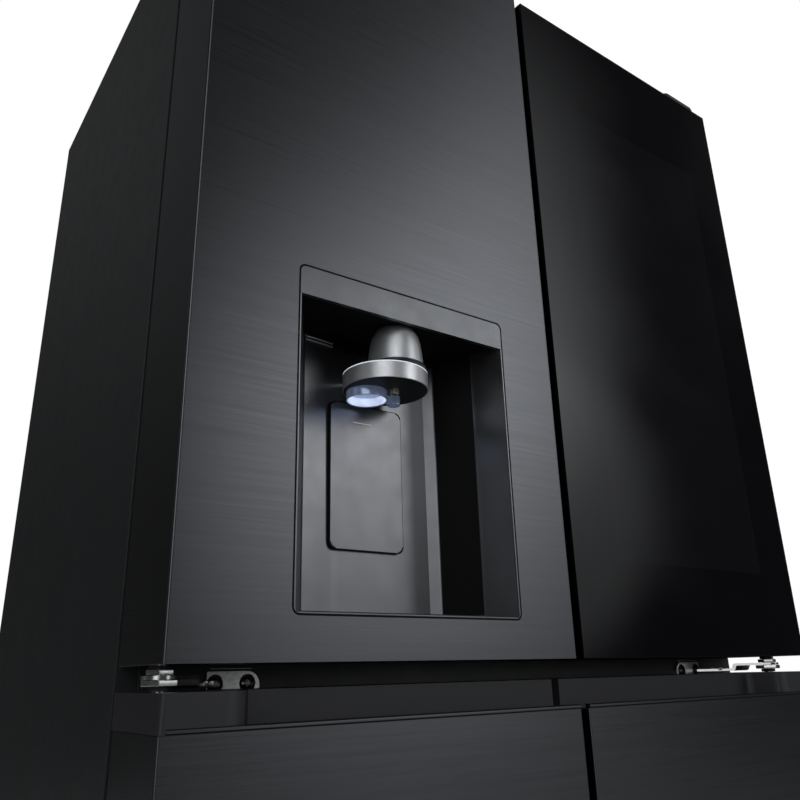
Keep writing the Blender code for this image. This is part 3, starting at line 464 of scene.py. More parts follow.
def glowing(slot, colour, strength):
    """Lit translucent plastic with a slightly uneven glow; also used for a painted highlight."""
    look = Look(slot, colour, 0.35)
    look.shader.inputs["Emission Color"].default_value = (*colour, 1.0)
    pattern = look.scaled(look.noise(90.0), *strength)
    look.tree.links.new(pattern, look.shader.inputs["Emission Strength"])
    look.tint(look.noise(60.0), 0.92, 1.05)


def make_materials():
    """Every material, with its colour, its gloss and its grain or pattern."""
    brushed_steel("black_steel", (0.121, 0.124, 0.132), 0.3, 0.05, 0.000012)
    moulded("door_plastic", (0.02, 0.021, 0.023), 0.4)
    moulded("gasket_vinyl", (0.05, 0.051, 0.054), 0.6, 900.0)
    moulded("tub_plastic", (0.19, 0.193, 0.202), 0.31, 1800.0, 0.000004, metallic=0.9)
    moulded("fascia_plastic", (0.128, 0.131, 0.138), 0.29, 1800.0, 0.000003, metallic=0.9)
    plated("satin_metal", (0.78, 0.79, 0.81), 0.4, 60.0, 0.03, 0.8, 0.0000006)
    plated("water_tip_metal", (0.72, 0.69, 0.57), 0.34, 60.0, 0.04, 0.8, 0.0000006)
    tinted_glass("door_glass", (0.0045, 0.0045, 0.006))
    clear_sheet("shelf_glass", (0.86, 0.93, 0.91), 0.03, 0.95)
    clear_sheet("clear_plastic", (0.88, 0.92, 0.94), 0.08, 0.85)
    moulded("liner_plastic", (0.74, 0.74, 0.73), 0.32, 700.0, 0.00002)
    moulded("case_paint", (0.03, 0.031, 0.033), 0.34, 1100.0, 0.00003)
    moulded("foam", (0.66, 0.58, 0.38), 0.9, 500.0, 0.0003)
    plated("zinc_steel", (0.95, 0.95, 0.94), 0.19, 220.0, 0.05, relief=0.000001)
    moulded("cover_plastic", (0.028, 0.028, 0.03), 0.48)
    galvanised("galvanised_steel", (0.5, 0.51, 0.52))
    moulded("foot_plastic", (0.02, 0.02, 0.021), 0.62, 600.0, 0.00008)
    plated("screw_steel", (0.3, 0.3, 0.31), 0.26, 220.0, 0.06)
    # Painted shade: near black with little reflection, put where the recess's ceiling and right wall, the
    # gaps round the opening, paddle and grips, and the middle run of ceiling beads fall in shade
    moulded("painted_recess_shade", (0.005, 0.005, 0.0055), 0.55, sockets={"IOR": 1.25})
    moulded("nozzle_plastic", (0.0085, 0.0088, 0.0095), 0.42)
    moulded("floor", (0.72, 0.72, 0.72), 0.7, 60.0, 0.00005)
    glowing("outlet_light", (0.74, 0.82, 1.0), (0.3, 0.75))
    glowing("outlet_wall", (0.42, 0.52, 0.74), (0.12, 0.26))
    # Painted highlight: a glowing line standing for the light caught on the top edge of the nozzle ring
    glowing("painted_highlight_line", (0.86, 0.93, 1.0), (0.5, 0.65))
    glowing("lamp_cover", (1.0, 0.98, 0.94), (0.55, 0.75))
    # The collar's faint emission is a painted glow of the light through its translucent wall
    rim = Look("outlet_rim", (0.34, 0.42, 0.62), 0.2, 0.55, {"Coat Weight": 0.4, "Emission Strength": 0.06})
    rim.shader.inputs["Emission Color"].default_value = (0.55, 0.68, 1.0, 1.0)
    rim.tint(rim.noise(120.0), 0.7, 1.3)


# --- CAD nodes that are shown as they are, with softened edges ---

def soften(node, width):
    """Merges the node's flat facets and rounds its edges, in modifiers."""
    obj = frame["nodes"][node]
    obj.modifiers.new("weld", "WELD").merge_threshold = 1e-5
    flats = obj.modifiers.new("merge_flats", "DECIMATE")
    flats.decimate_type = "DISSOLVE"
    flats.angle_limit = math.radians(0.5)
    round_edges(obj, width, 2, 30).modifiers[-1].harden_normals = True


def dress_cad():
    """Every CAD node that still shows gets its slot's material and rounded edges."""
    for part in frame["record"]["subparts"]:
        if part["node"] in REPLACED:
            continue
        obj = frame["nodes"][part["node"]]
        obj.data.materials.clear()
        obj.data.materials.append(MATERIALS[part["material_slot"]])
        if part["node"] != "insulation":
            soften(part["node"], 0.0008)


def screws(name, look, places, axis="Y", out=1, radius=0.0045, height=0.0024):
    """Round-headed screws of the cabinet with a cross recess, which stand out along an axis."""
    heads, across, upright = Shape(), Shape(), Shape()
    turn = AXIS_TURN[axis]
    for place in places:
        dome = [(radius, 0), (radius, 0.3), (radius * 0.86, 0.68), (radius * 0.55, 0.93), (0, 1)]
        heads.lathe([(0, 0), *((r, out * h * height) for r, h in dome)], place, axis, 24)
        for tool, (u, v) in ((across, (0.6, 0.13)), (upright, (0.13, 0.6))):
            slot = rectangle((-u * radius, u * radius), (-v * radius, v * radius))
            levels = (out * height * 0.4, out * height * 1.5)
            tool.loft([[turn @ Vector((a, b, w)) + Vector(place) for a, b in slot] for w in levels])
    finish_piece(carve(heads.object(name), across, upright), "cabinet", look)


# --- Doors ---

SKIN_RADIUS = 0.0022
MOUTH_CORNER = 0.0055
DOOR_BACK_Y = FRONT_Y + 0.113
DIKE_X = (0.048, 0.396)
DIKE_OPENING_X = (0.056, 0.387)
UPPER_DIKE = ((0.876, 1.688), (0.885, 1.679), FRONT_Y + 0.15)
LOWER_DIKE = ((0.112, 0.769), (0.124, 0.757), FRONT_Y + 0.138)
GLASS_DOOR_BACK_Y = FRONT_Y + 0.058


def skin(x, z, edge=0.0005):
    """Folded steel front of a door: flat face, round vertical edges and side returns."""
    x0, x1 = sorted(x)

    def plan(inset):
        left, right, front = x0 + inset, x1 - inset, FRONT_Y + inset
        corners = [(left, SKIN_BACK_Y), (left, front), (right, front), (right, SKIN_BACK_Y)]
        radius = SKIN_RADIUS - inset
        return fillet(corners, [0, radius, radius, 0], 10, closed=False)

    return Shape().sweep(plan(0.0) + plan(SHEET)[::-1], "Z", *z, edge=edge)


def make_left_skin():
    """Steel skin of the left door with its dispenser opening, and a black frame of painted shade in the gap
    round the opening.
    """
    panel = skin((LEFT_X, SEAM_LEFT_X), (UPPER_Z, DOOR_TOP_Z)).object("left_door_skin")
    clear = 0.0019
    x, z = grown(TUB_X, clear), grown(TUB_Z, clear)
    outline = fillet(rectangle(x, z), MOUTH_CORNER + clear, 8)
    carve(panel, Shape().sweep(outline, "Y", FRONT_Y - 0.01, SKIN_BACK_Y))
    round_edges(panel, 0.00015, 1, 50)
    finish_piece(panel, "left_door", "black_steel", "left_door_panel")
    # Black frame painted as the shade in the gap between the skin and the tub
    profile = rectangle((-0.00005, 0.0018), (FRONT_Y + 0.0007, SKIN_BACK_Y - 0.0001))
    edge = fillet(rectangle(TUB_X, TUB_Z), MOUTH_CORNER, 8)
    Shape().frame(edge, profile).piece("dispenser_gap_shade", "left_door", "painted_recess_shade")


def make_lower_fronts():
    """Steel skins of the lower doors, the thin strip along the top of each grip, and the black strips of
    painted shade in the gaps over and under it.
    """
    for side, name in SIDES:
        body = f"lower_{name}_door"
        x = limits(f"lower_{name}_panel", 0)
        shape = skin(x, (LOWER_Z, LOWER_TOP_Z), edge=0.0008)
        shape.piece(f"lower_{name}_skin", body, "black_steel", f"lower_{name}_panel")
        # Black strips of painted shade fill the gaps over and under the strip
        strip, gap_shade = Shape(), Shape()
        ends = sorted((side * 0.0066, side * 0.45))
        for shape, front, low, high in (
            (gap_shade, -0.0001, 0.0003, 0.0013),
            (strip, -0.0004, 0.0013, 0.0034),
            (gap_shade, -0.0001, 0.0034, 0.0044),
        ):
            y = (FRONT_Y + front, FRONT_Y + 0.006)
            shape.block(ends, y, (LOWER_TOP_Z + low, LOWER_TOP_Z + high), 0.0002)
        strip.piece(f"lower_{name}_grip_strip", body, "black_steel")
        gap_shade.piece(f"lower_{name}_grip_gap_shade", body, "painted_recess_shade")
        make_lower_body(side, name)


def make_lower_body(side, name):
    """The door's moulded body, with a wide curve at the end of its grip."""
    node = f"lower_{name}_body"
    obj = bpy.data.objects.new(f"lower_{name}_moulding", frame["nodes"][node].data.copy())
    bpy.context.scene.collection.objects.link(obj)
    obj.matrix_world = frame["nodes"][node].matrix_world.copy()
    radius, end, ahead = 0.034, 0.3685, FRONT_Y - 0.01
    corners = arc((end + radius, FRONT_Y + radius), radius, 180, 270, 16)
    corners += [(end + radius, ahead), (end - 0.02, ahead), (end - 0.02, FRONT_Y + radius)]
    outline = [(side * x, y) for x, y in corners]
    carve(obj, Shape().sweep(outline, "Z", LOWER_TOP_Z + 0.0045, LOWER_TOP_Z + 0.04))
    round_edges(obj, 0.0008, 2, 40)
    finish_piece(obj, f"lower_{name}_door", "door_plastic", node, angle=35)


def make_seals():
    """Magnetic door seals: a clip foot, a soft fold and the magnet strip that meets the cabinet."""
    half = 0.007
    sections = [(half, 0.0), (half, 0.22), (0.0046, 0.3), (0.0046, 0.42), (0.0066, 0.5), (0.0066, 1.0)]
    sections += [(-u, share) for u, share in reversed(sections)]
    for body in ("left_door", "right_door", "lower_left_door", "lower_right_door"):
        node = body.replace("_door", "_gasket") if body.startswith("lower") else f"{body}_gasket"
        (x0, y0, z0), (x1, y1, z1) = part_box(node)
        path = rectangle((x0 + half, x1 - half), (z0 + half, z1 - half))
        profile = [(u, y0 + share * (y1 - y0)) for u, share in sections]
        Shape().frame(path, profile).piece(f"{body}_seal", body, "gasket_vinyl", node, angle=25)


def door_lining(name, body, side, dike, floor_y=None):
    """Thin white sheet formed over the raised rim of a door's inner face, and over any floor."""
    outer_z, inner_z, top_y = dike
    sheet, near = 0.0009, 0.0002
    low = DOOR_BACK_Y + near
    bottom = floor_y or FRONT_Y + 0.0605

    def ring(x, z, grow, radius, y):
        u = sorted((side * (x[0] - grow), side * (x[1] + grow)))
        return [(a, y, b) for a, b in fillet(rectangle(u, grown(z, grow)), radius, 5)]

    def outer(grow, y):
        return ring(DIKE_X, outer_z, grow, 0.003, y)

    def inner(shrink, y):
        return ring(DIKE_OPENING_X, inner_z, -shrink, 0.008, y)

    under = [inner(near, bottom), inner(near, top_y + near), outer(near, top_y + near), outer(near, low)]
    edge = [outer(0.0085, low), outer(0.0085, low + sheet)]
    face = [outer(near + sheet + 0.001, low + sheet), outer(near + sheet, low + sheet + 0.001)]
    face += [outer(near + sheet, top_y - 0.002), outer(near + 0.0003, top_y + near + sheet)]
    face += [inner(near + 0.0003, top_y + near + sheet), inner(near + sheet, top_y - 0.002)]
    lining = Shape()
    if floor_y is None:
        lining.loft([*under, *edge, *face, inner(near + sheet, bottom), under[0]], caps=False)
    else:
        face += [inner(near + sheet, bottom + sheet + 0.003)]
        face += [inner(near + sheet + 0.003, bottom + sheet)]
        lining.loft(under + edge + face)
    lining.piece(name, body, "liner_plastic", angle=30)


def make_door_linings():
    """White linings of all four doors. The right upper one is open to the door in front of it."""
    floor_y = DOOR_BACK_Y - 0.0039
    door_lining("left_door_lining", "left_door", -1, UPPER_DIKE, floor_y)
    door_lining("right_door_lining", "right_door", 1, UPPER_DIKE)
    for side, name in SIDES:
        door_lining(f"lower_{name}_lining", f"lower_{name}_door", side, LOWER_DIKE, floor_y)


def make_left_door_fittings():
    """Ice maker with its cover and latch, and the bin below it."""
    (x0, y0, z0), (x1, y1, z1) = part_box("ice_maker_box")
    x, z = (x0, x1), (z0, z1)
    case = Shape().block(grown(x, -0.001), (y0 + 0.0016, y1 - 0.014), grown(z, -0.001), 0.005, 3)
    case.piece("ice_maker_case", "left_door", "liner_plastic", "ice_maker_box")
    cover = Shape().block(grown(x, -0.003), (y1 - 0.0135, y1), grown(z, -0.003), 0.005, 4)
    cover = cover.object("ice_maker_cover")
    grip_x, grip_z = (x1 - 0.04, x1 - 0.016), (z0 + 0.17, z0 + 0.27)
    grip = Shape().block(grip_x, (y1 - 0.008, y1 + 0.01), grip_z, 0.004, 3)
    vents = Shape()
    for i in range(9):
        z = z1 - 0.035 - 0.009 * i
        vents.block(grown(x, -0.1), (y1 - 0.003, y1 + 0.01), (z, z + 0.004), 0.0008)
    carve(cover, grip, vents)
    round_edges(cover, 0.0006, 2, 40)
    finish_piece(cover, "left_door", "liner_plastic")
    latch_x = (x1 - 0.036, x1 - 0.031)
    latch = Shape().block(latch_x, (y1 - 0.0072, y1 - 0.001), grown(grip_z, -0.015), 0.0015)
    latch.piece("ice_maker_latch", "left_door", "satin_metal")
    door_bin("left_door_tray", "left_door", "left_door_bin")


def make_flap():
    """Flap that closes the gap between the upper doors, with a cap at each end."""
    (x0, y0, z0), (x1, y1, z1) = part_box("centre_mullion")
    plan = rectangle((x0, x1), (y0, y1))
    flap = Shape().sweep(fillet(plan, [0.0084, 0.0084, 0.0015, 0.0015], 8), "Z", z0 + 0.008, z1 - 0.008)
    flap.piece("mullion_flap", "mullion_flap", "liner_plastic", "centre_mullion")
    ends, cap = Shape(), fillet(plan, [0.008, 0.008, 0.002, 0.002], 8)
    for low, high in ((z0, z0 + 0.0076), (z1 - 0.0076, z1)):
        ends.sweep(cap, "Z", low, high, 0.0008)
    ends.piece("mullion_ends", "mullion_flap", "cover_plastic")


def door_bin(name, body, node):
    """Clear door bin with a rolled rim and a solid band round its front."""
    (x0, y0, z0), (x1, y1, z1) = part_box(node)
    inset = 0.0014
    tray = Shape().tub((x0 + inset, x1 - inset), (y0 + inset, y1), (z0, z1), 0.0024, 0.002, 0.002)
    tray.piece(name, body, "clear_plastic", node)
    band_z = (z1 - 0.03, z1 - 0.01)
    band = Shape().block(grown((x0, x1), -0.018), (y1 - 0.0015, y1 + 0.0005), band_z, 0.0007)
    band.piece(f"{name}_band", body, "satin_metal")


def make_right_door():
    """Bins, window pane, bezel and seal behind the dark glass."""
    for place in ("lower", "upper"):
        door_bin(f"right_tray_{place}", "right_door", f"right_door_bin_{place}")
    x, y, z = (limits("outer_door_glass", axis) for axis in range(3))
    glass = Shape().sweep(fillet(rectangle(x, z), 0.0012, 3), "Y", *y, 0.0006, 2)
    glass.piece("front_glass", "outer_door", "door_glass", "outer_door_glass")
    back = GLASS_DOOR_BACK_Y
    pane = fillet(rectangle(grown(WINDOW_X, -0.0005), grown(WINDOW_Z, -0.0005)), 0.0005, 2)
    pane = Shape().sweep(pane, "Y", back - 0.01, back - 0.006, 0.0005)
    pane.piece("window_pane", "outer_door", "shelf_glass")
    bezel = [(-0.006, -0.0055), (-0.0006, -0.0055), (-0.0006, 0.0002), (0.012, 0.0002), (0.012, 0.0008)]
    bezel += [(0.0105, 0.0014), (-0.0045, 0.0014), (-0.006, 0.0002)]
    seal = [(-0.005, 0.0002), (0.005, 0.0002), (0.0042, 0.0008), (0.003, 0.0017)]
    seal += [(-0.003, 0.0017), (-0.0042, 0.0008)]
    window = fillet(rectangle(WINDOW_X, WINDOW_Z), 0.004, 4)
    path = rectangle((x[0] + 0.016, x[1] - 0.03), grown(z, -0.016))
    for name, outline, profile, look, angle in (
        ("window_bezel", window, bezel, "cover_plastic", 30),
        ("outer_door_seal", path, seal, "gasket_vinyl", 25),
    ):
        frame_profile = [(out, back + along) for out, along in profile]
        Shape().frame(outline, frame_profile).piece(name, "outer_door", look, angle=angle)


# --- Dispenser ---

TUB_X = limits("dispenser_housing", 0)
TUB_Z = limits("dispenser_housing", 2)
TUB_DEPTH = 0.108
FASCIA_LOW = limits("dispenser_fascia", 2)[0]
PADDLE_X = limits("dispenser_paddle", 0)
PADDLE_Z = limits("dispenser_paddle", 2)
PADDLE_Y = limits("dispenser_paddle", 1)
RING_Z = limits("nozzle_ring", 2)
NOZZLE = (-0.2154, FRONT_Y + 0.048)
RING_RADIUS = 0.0466
COWL = (-0.2125, FRONT_Y + 0.032)
COLLAR = (-0.234, FRONT_Y + 0.057)
SMALL_RING = (-0.1996, FRONT_Y + 0.0555)
TIP = (-0.2131, FRONT_Y + 0.0343)
RIM = 0.0022
CEILING_Z = FASCIA_LOW + 0.004
CEILING_LOW_Z = CEILING_Z - 0.0022
LOW_DEPTH = 0.0902
HIGH_DEPTH = 0.092


def recess_walls(depth, inset=0.0):
    """Plan of the recess's walls at one height: flaring sides, and corners that turn in two bends."""
    left, right = grown(TUB_X, -RIM - inset)
    back = FRONT_Y + depth - inset
    points = [(left, FRONT_Y + 0.001), (left + 0.0495, back - 0.0048), (left + 0.09, back)]
    points += [(right - 0.074, back), (right - 0.0491, back - 0.0045), (right - 0.0386, back - 0.0113)]
    points += [(right - 0.0121, FRONT_Y + 0.0384), (right, FRONT_Y + 0.001)]
    return fillet(points, [0, 0.0035, 0.1, 0.12, 0.0004, 0.006, 0.03, 0], 8, closed=False)


def recess_plan(depth):
    """Plan of the recess's mouth and walls; the mouth's edge slopes inwards."""
    (left, right), lip = grown(TUB_X, -RIM), 0.001
    levels = (FRONT_Y - 0.02, FRONT_Y + 0.0001, FRONT_Y + 0.0018)
    walls = [point for point in recess_walls(depth) if point[1] > FRONT_Y + 0.0019]
    near = list(zip((left - lip, left - lip, left), levels))
    return near + walls + list(zip((right, right + lip, right + lip), levels[::-1]))


def make_tub():
    """Recessed tub: rounded rim, leaning back wall, pocket for the paddle and seat of the fascia."""
    outline = fillet(rectangle(TUB_X, TUB_Z), MOUTH_CORNER, 8)
    inner = [(x * 0.93 - 0.0151, z) for x, z in outline]
    levels = ((outline, 0.0001), (outline, 0.01), (inner, TUB_DEPTH))
    shell = Shape()
    shell.loft([[(x, FRONT_Y + depth, z) for x, z in points] for points, depth in levels])
    tub = shell.object("dispenser_tub")

    mouth = Shape()
    levels = ((TUB_Z[0] + RIM, LOW_DEPTH), (CEILING_Z, HIGH_DEPTH))
    faces = mouth.loft([[(x, y, z) for x, y in recess_plan(depth)] for z, depth in levels])
    mouth.bevel(faces[-2].edges, 0.004, 4)
    pocket = fillet(rectangle(grown(PADDLE_X, 0.0012), grown(PADDLE_Z, 0.0012)), 0.0075, 6)
    pocket = Shape().sweep(pocket, "Y", FRONT_Y + 0.08, FRONT_Y + 0.1055)
    seat_z = (FASCIA_LOW - 0.0003, TUB_Z[1] + 0.01)
    seat = Shape().block(grown(TUB_X, 0.01), (FRONT_Y - 0.01, FRONT_Y + 0.0053), seat_z, 0)
    ahead, foot, floor = FRONT_Y - 0.01, TUB_Z[0] + 0.0011, TUB_Z[0] + RIM
    slope = [(ahead, foot), (FRONT_Y + 0.0001, foot), (FRONT_Y + 0.0018, floor)]
    slope += [(FRONT_Y + 0.0018, floor + 0.01), (ahead, floor + 0.01)]
    sill = Shape().sweep(slope, "X", *grown(TUB_X, -RIM))
    carve(tub, mouth, pocket, seat, sill)
    round_edges(tub, 0.0002, 2, 60)
    finish_piece(tub, "left_door", "tub_plastic", "dispenser_housing", angle=28)


def make_recess_top():
    """Strip across the top of the recess, and the ceiling behind it, black as painted shade."""
    z = (FASCIA_LOW, TUB_Z[1])
    outline = fillet(rectangle(TUB_X, z), [0.0004, 0.0004, MOUTH_CORNER, MOUTH_CORNER], 8)
    strip = Shape().sweep(outline, "Y", FRONT_Y, FRONT_Y + 0.005, 0.0004)
    strip.piece("dispenser_strip", "left_door", "fascia_plastic", "dispenser_fascia")
    # The ceiling is black as painted shade
    walls = [(x, max(y, FRONT_Y + 0.0056)) for x, y in recess_walls(0.0919, 0.0003)]
    ceiling = Shape().sweep(walls, "Z", CEILING_LOW_Z, CEILING_Z - 0.0001, 0.0005)
    ceiling.piece("recess_ceiling", "left_door", "painted_recess_shade")


def make_recess_trim():
    """Black panel of painted shade on the right wall of the recess, and the beads along its back under the
    ceiling, whose middle run is black as painted shade.
    """
    # Black panel of painted shade over the dark part of the right wall
    right = TUB_X[1] - RIM
    panels = []
    for z, depth in ((TUB_Z[0] + RIM + 0.004, LOW_DEPTH), (CEILING_LOW_Z - 0.0003, 0.0919)):
        far = Vector((right - 0.0378, FRONT_Y + depth - 0.0126))
        near = Vector((right - 0.0126, FRONT_Y + 0.0392))
        out = Vector((near.y - far.y, far.x - near.x)).normalized() * 0.0005
        panels.append([(x, y, z) for x, y in (far, near, near + out, far + out)])
    side = Shape()
    side.loft(panels)
    side.piece("recess_side_shade", "left_door", "painted_recess_shade")
    path = [point for point in recess_walls(0.0912, 0.0012) if point[1] > FRONT_Y + 0.07]
    # The middle run of beads, behind the hood, is black as painted shade
    beads, dark = Shape(), Shape()
    for x0, x1, shape in ((-0.297, -0.257, beads), (-0.2565, -0.1145, dark), (-0.114, -0.107, beads)):
        run = [(x, y) for x, y in path if x0 <= x <= x1]
        for drop in (0.0064, 0.0026):
            if len(run) > 1:
                shape.tube([(x, y, CEILING_LOW_Z - drop) for x, y in run], 0.0011, 8)
    beads.piece("ceiling_bead", "left_door", "satin_metal")
    dark.piece("ceiling_bead_shade", "left_door", "painted_recess_shade")


def make_paddle():
    """Push paddle with round corners, a black frame of painted shade in the gap round it, and a small rib to
    press a cup against.
    """
    outline = fillet(rectangle(PADDLE_X, PADDLE_Z), 0.007, 8)
    plate = Shape().sweep(outline, "Y", *PADDLE_Y, 0.0014, 4)
    front = PADDLE_Y[0]
    # Black frame of painted shade in the gap between the paddle and the wall
    seal = rectangle((0.0002, 0.0011), (front + 0.0008, FRONT_Y + 0.1))
    Shape().frame(outline, seal).piece("paddle_edge_shade", "left_door", "painted_recess_shade", angle=40)
    plate.piece("paddle_plate", "dispenser_paddle", "tub_plastic", "dispenser_paddle")
    middle, rib_z = sum(PADDLE_X) / 2 - 0.006, PADDLE_Z[1] - 0.02
    x, z = grown((middle, middle), 0.0125), grown((rib_z, rib_z), 0.0008)
    rib = Shape().block(x, (front - 0.0007, front + 0.0012), z, 0.0004)
    rib.piece("paddle_rib", "dispenser_paddle", "satin_metal")


def make_nozzle():
    """Nozzle: tapered hood over a lip, a wide ring with a painted highlight line along its top edge, and its
    dark underside.
    """
    low, r = RING_Z[0], RING_RADIUS
    top = RING_Z[1] - low + 0.0007
    band = [(r - 0.0024, 0.0002), (r - 0.0004, 0.0), (r, 0.0004), (r, top - 0.0022)]
    band += [(r - 0.0005, top - 0.0017), (r - 0.0026, top - 0.0006), (r - 0.014, top)]
    band += [(r - 0.014, top - 0.002), (r - 0.0024, top - 0.0026)]
    band = Shape().lathe(band, (*NOZZLE, low), "Z", 96)
    band.piece("nozzle_band", "left_door", "satin_metal", "nozzle_ring", angle=25)
    # Glowing ring that paints the highlight on the ring's top edge
    line = [(r - 0.001, top - 0.0014), (r - 0.0001, top - 0.0018), (r - 0.0001, top - 0.001)]
    line = fillet(line + [(r - 0.001, top - 0.0004)], 0.0002, 2)
    Shape().lathe(line, (*NOZZLE, low), "Z", 96).piece("nozzle_painted_highlight", "left_door", "painted_highlight_line")
    under = [(0.0, -0.0006), (r - 0.0022, -0.0006), (r - 0.001, 0.0), (r - 0.0026, 0.001)]
    under += [(r - 0.0026, top - 0.003), (0.0, top - 0.003)]
    Shape().lathe(under, (*NOZZLE, low), "Z", 64).piece("nozzle_underside", "left_door", "nozzle_plastic")
    lip = [(0.0, 0.0002), (0.0326, 0.0002), (0.0332, 0.0007), (0.0332, 0.0024), (0.0322, 0.0031)]
    lip = Shape().lathe([*lip, (0.0, 0.0031)], (*COWL, low + top), "Z", 72)
    lip.piece("nozzle_lip", "left_door", "nozzle_plastic", angle=35)
    foot, rise = 0.0033, CEILING_Z - 0.0023 - low - top
    sides = ((0.0304, 0.02), (0.03, 0.12), (0.029, 0.4), (0.0276, 0.62), (0.0256, 0.8))
    sides += ((0.023, 0.92), (0.0208, 1.0), (0.0, 1.0))
    hood = [(0.0, foot), (0.0298, foot)]
    hood += [(radius, foot + share * (rise - foot)) for radius, share in sides]
    hood = Shape().lathe(hood, (*COWL, low + top), "Z", 96)
    hood.piece("nozzle_hood", "left_door", "satin_metal", "nozzle_cowl", angle=35)


def make_outlets():
    """Ice collar with its lit inner wall and chute, the small ring beside it, and the water tip."""
    low = RING_Z[0] - 0.0007
    r, drop = 0.0222, 0.0104
    collar = Shape()
    for (x, y), inner, outer, steps in ((COLLAR, r - 0.0012, r, 64), (SMALL_RING, 0.004, 0.007, 32)):
        wall = [(inner, 0.0), (inner, -drop), (outer, -drop), (outer + 0.0002, 0.0)]
        collar.lathe(fillet(wall, 0.0005, 3), (x, y, low), "Z", steps)
    bridge_x = (COLLAR[0] + r - 0.0004, SMALL_RING[0] - 0.0066)
    bridge_y = grown((SMALL_RING[1], SMALL_RING[1]), 0.0022)
    collar.block(bridge_x, bridge_y, (low - drop + 0.0008, low), 0.0004)
    collar.piece("ice_collar", "left_door", "outlet_rim", "ice_funnel")
    light = [(r - 0.003, -0.001), (r - 0.0018, -drop + 0.0008), (r - 0.0013, -drop + 0.0008)]
    light += [(r - 0.0013, -0.001)]
    Shape().lathe(light, (*COLLAR, low), "Z", 64).piece("ice_light", "left_door", "outlet_light")
    chute = [(0.0, -0.0003), (r - 0.0014, -0.0003), (r - 0.0014, -0.0009), (0.0, -0.0009)]
    chute = Shape().lathe(chute, (*COLLAR, low), "Z", 64)
    chute.piece("ice_chute", "left_door", "outlet_wall", angle=30)
    end = limits("water_tip", 2)[0] - low - 0.0008
    tip = [(0.0026, 0.0), (0.0026, end), (0.0042, end), (0.0049, end + 0.0007), (0.0049, -0.0012)]
    tip = Shape().lathe([*tip, (0.0045, -0.0008), (0.0045, 0.0)], (*TIP, low), "Z", 40)
    tip.piece("water_spout", "left_door", "water_tip_metal", "water_tip")


# --- Hinges ---

def tangent_plan(centre, radius, foot, steps=20):
    """A round eye drawn back to a straight foot between two points."""
    points = [*circle(centre, radius, steps * 2), *foot]
    points = sorted(set(points))

    def half(sequence):
        chain = []
        for p in sequence:
            while len(chain) > 1:
                (ax, ay), (bx, by) = chain[-2:]
                if (bx - ax) * (p[1] - ay) - (by - ay) * (p[0] - ax) > 0:
                    break
                chain.pop()
            chain.append(p)
        return chain[:-1]

    return half(points) + half(points[::-1])


def hinge_bracket(side, name, back, screws_x, screw_z):
    """One welded bracket: flat plate with two sunk holes, stepped arm that ends in an eye, and pin."""
    base, front = UPPER_Z, back - 0.003
    pivot = (side * PIVOT_X, PIVOT_Y)
    corners = rectangle((0.374, 0.3212), (base - 0.026, base - 0.005))
    outline = [(side * x, z) for x, z in (corners[0], corners[3], corners[2], corners[1])]
    plate = Shape().sweep(fillet(outline, [0.001, 0.0012, 0.0125, 0.001], 10), "Y", front, back, 0.0005)
    rise, sheet, low = 0.0068, 0.003, base - 0.0178
    step_y, end_y = PIVOT_Y + 0.026, PIVOT_Y - 0.02
    run = [(front + 0.001, low), (front + 0.001, low + sheet), (step_y + 0.002, low + sheet)]
    run += [(step_y, low + sheet + rise), (end_y, low + sheet + rise), (end_y, low + rise)]
    run += [(step_y - sheet, low + rise), (step_y - sheet + 0.002, low)]
    bends = [0, 0, 0.0008, 0.0028, 0, 0, 0.0008, 0.0028]
    arm = Shape().sweep(fillet(run, bends, 4), "X", *sorted((side * 0.3, side * 0.456)))
    arm = arm.object(f"middle_bracket_{name}")
    plan = tangent_plan(pivot, 0.0145, [(side * 0.372, back), (side * 0.3565, back)])
    combined(arm, "INTERSECT", Shape().sweep(plan, "Z", base - 0.03, base))
    half_pin = [(0.0052, LOWER_PIN_Z), (0.0059, LOWER_PIN_Z + 0.001), (0.0059, base + 0.015)]
    profile = [(0, LOWER_PIN_Z), *half_pin, (0.0052, base + 0.016), (0, base + 0.016)]
    combined(arm, "UNION", plate, Shape().lathe(profile, (*pivot, 0.0), "Z", 32))
    holes = Shape()
    for x in screws_x:
        holes.sweep(circle((side * x, screw_z), 0.0082, 40), "Y", front - 0.004, back + 0.002)
    carve(arm, holes)
    round_edges(arm, 0.0004, 2, 35)
    finish_piece(arm, "cabinet", "zinc_steel", f"middle_hinge_{name}", angle=30)


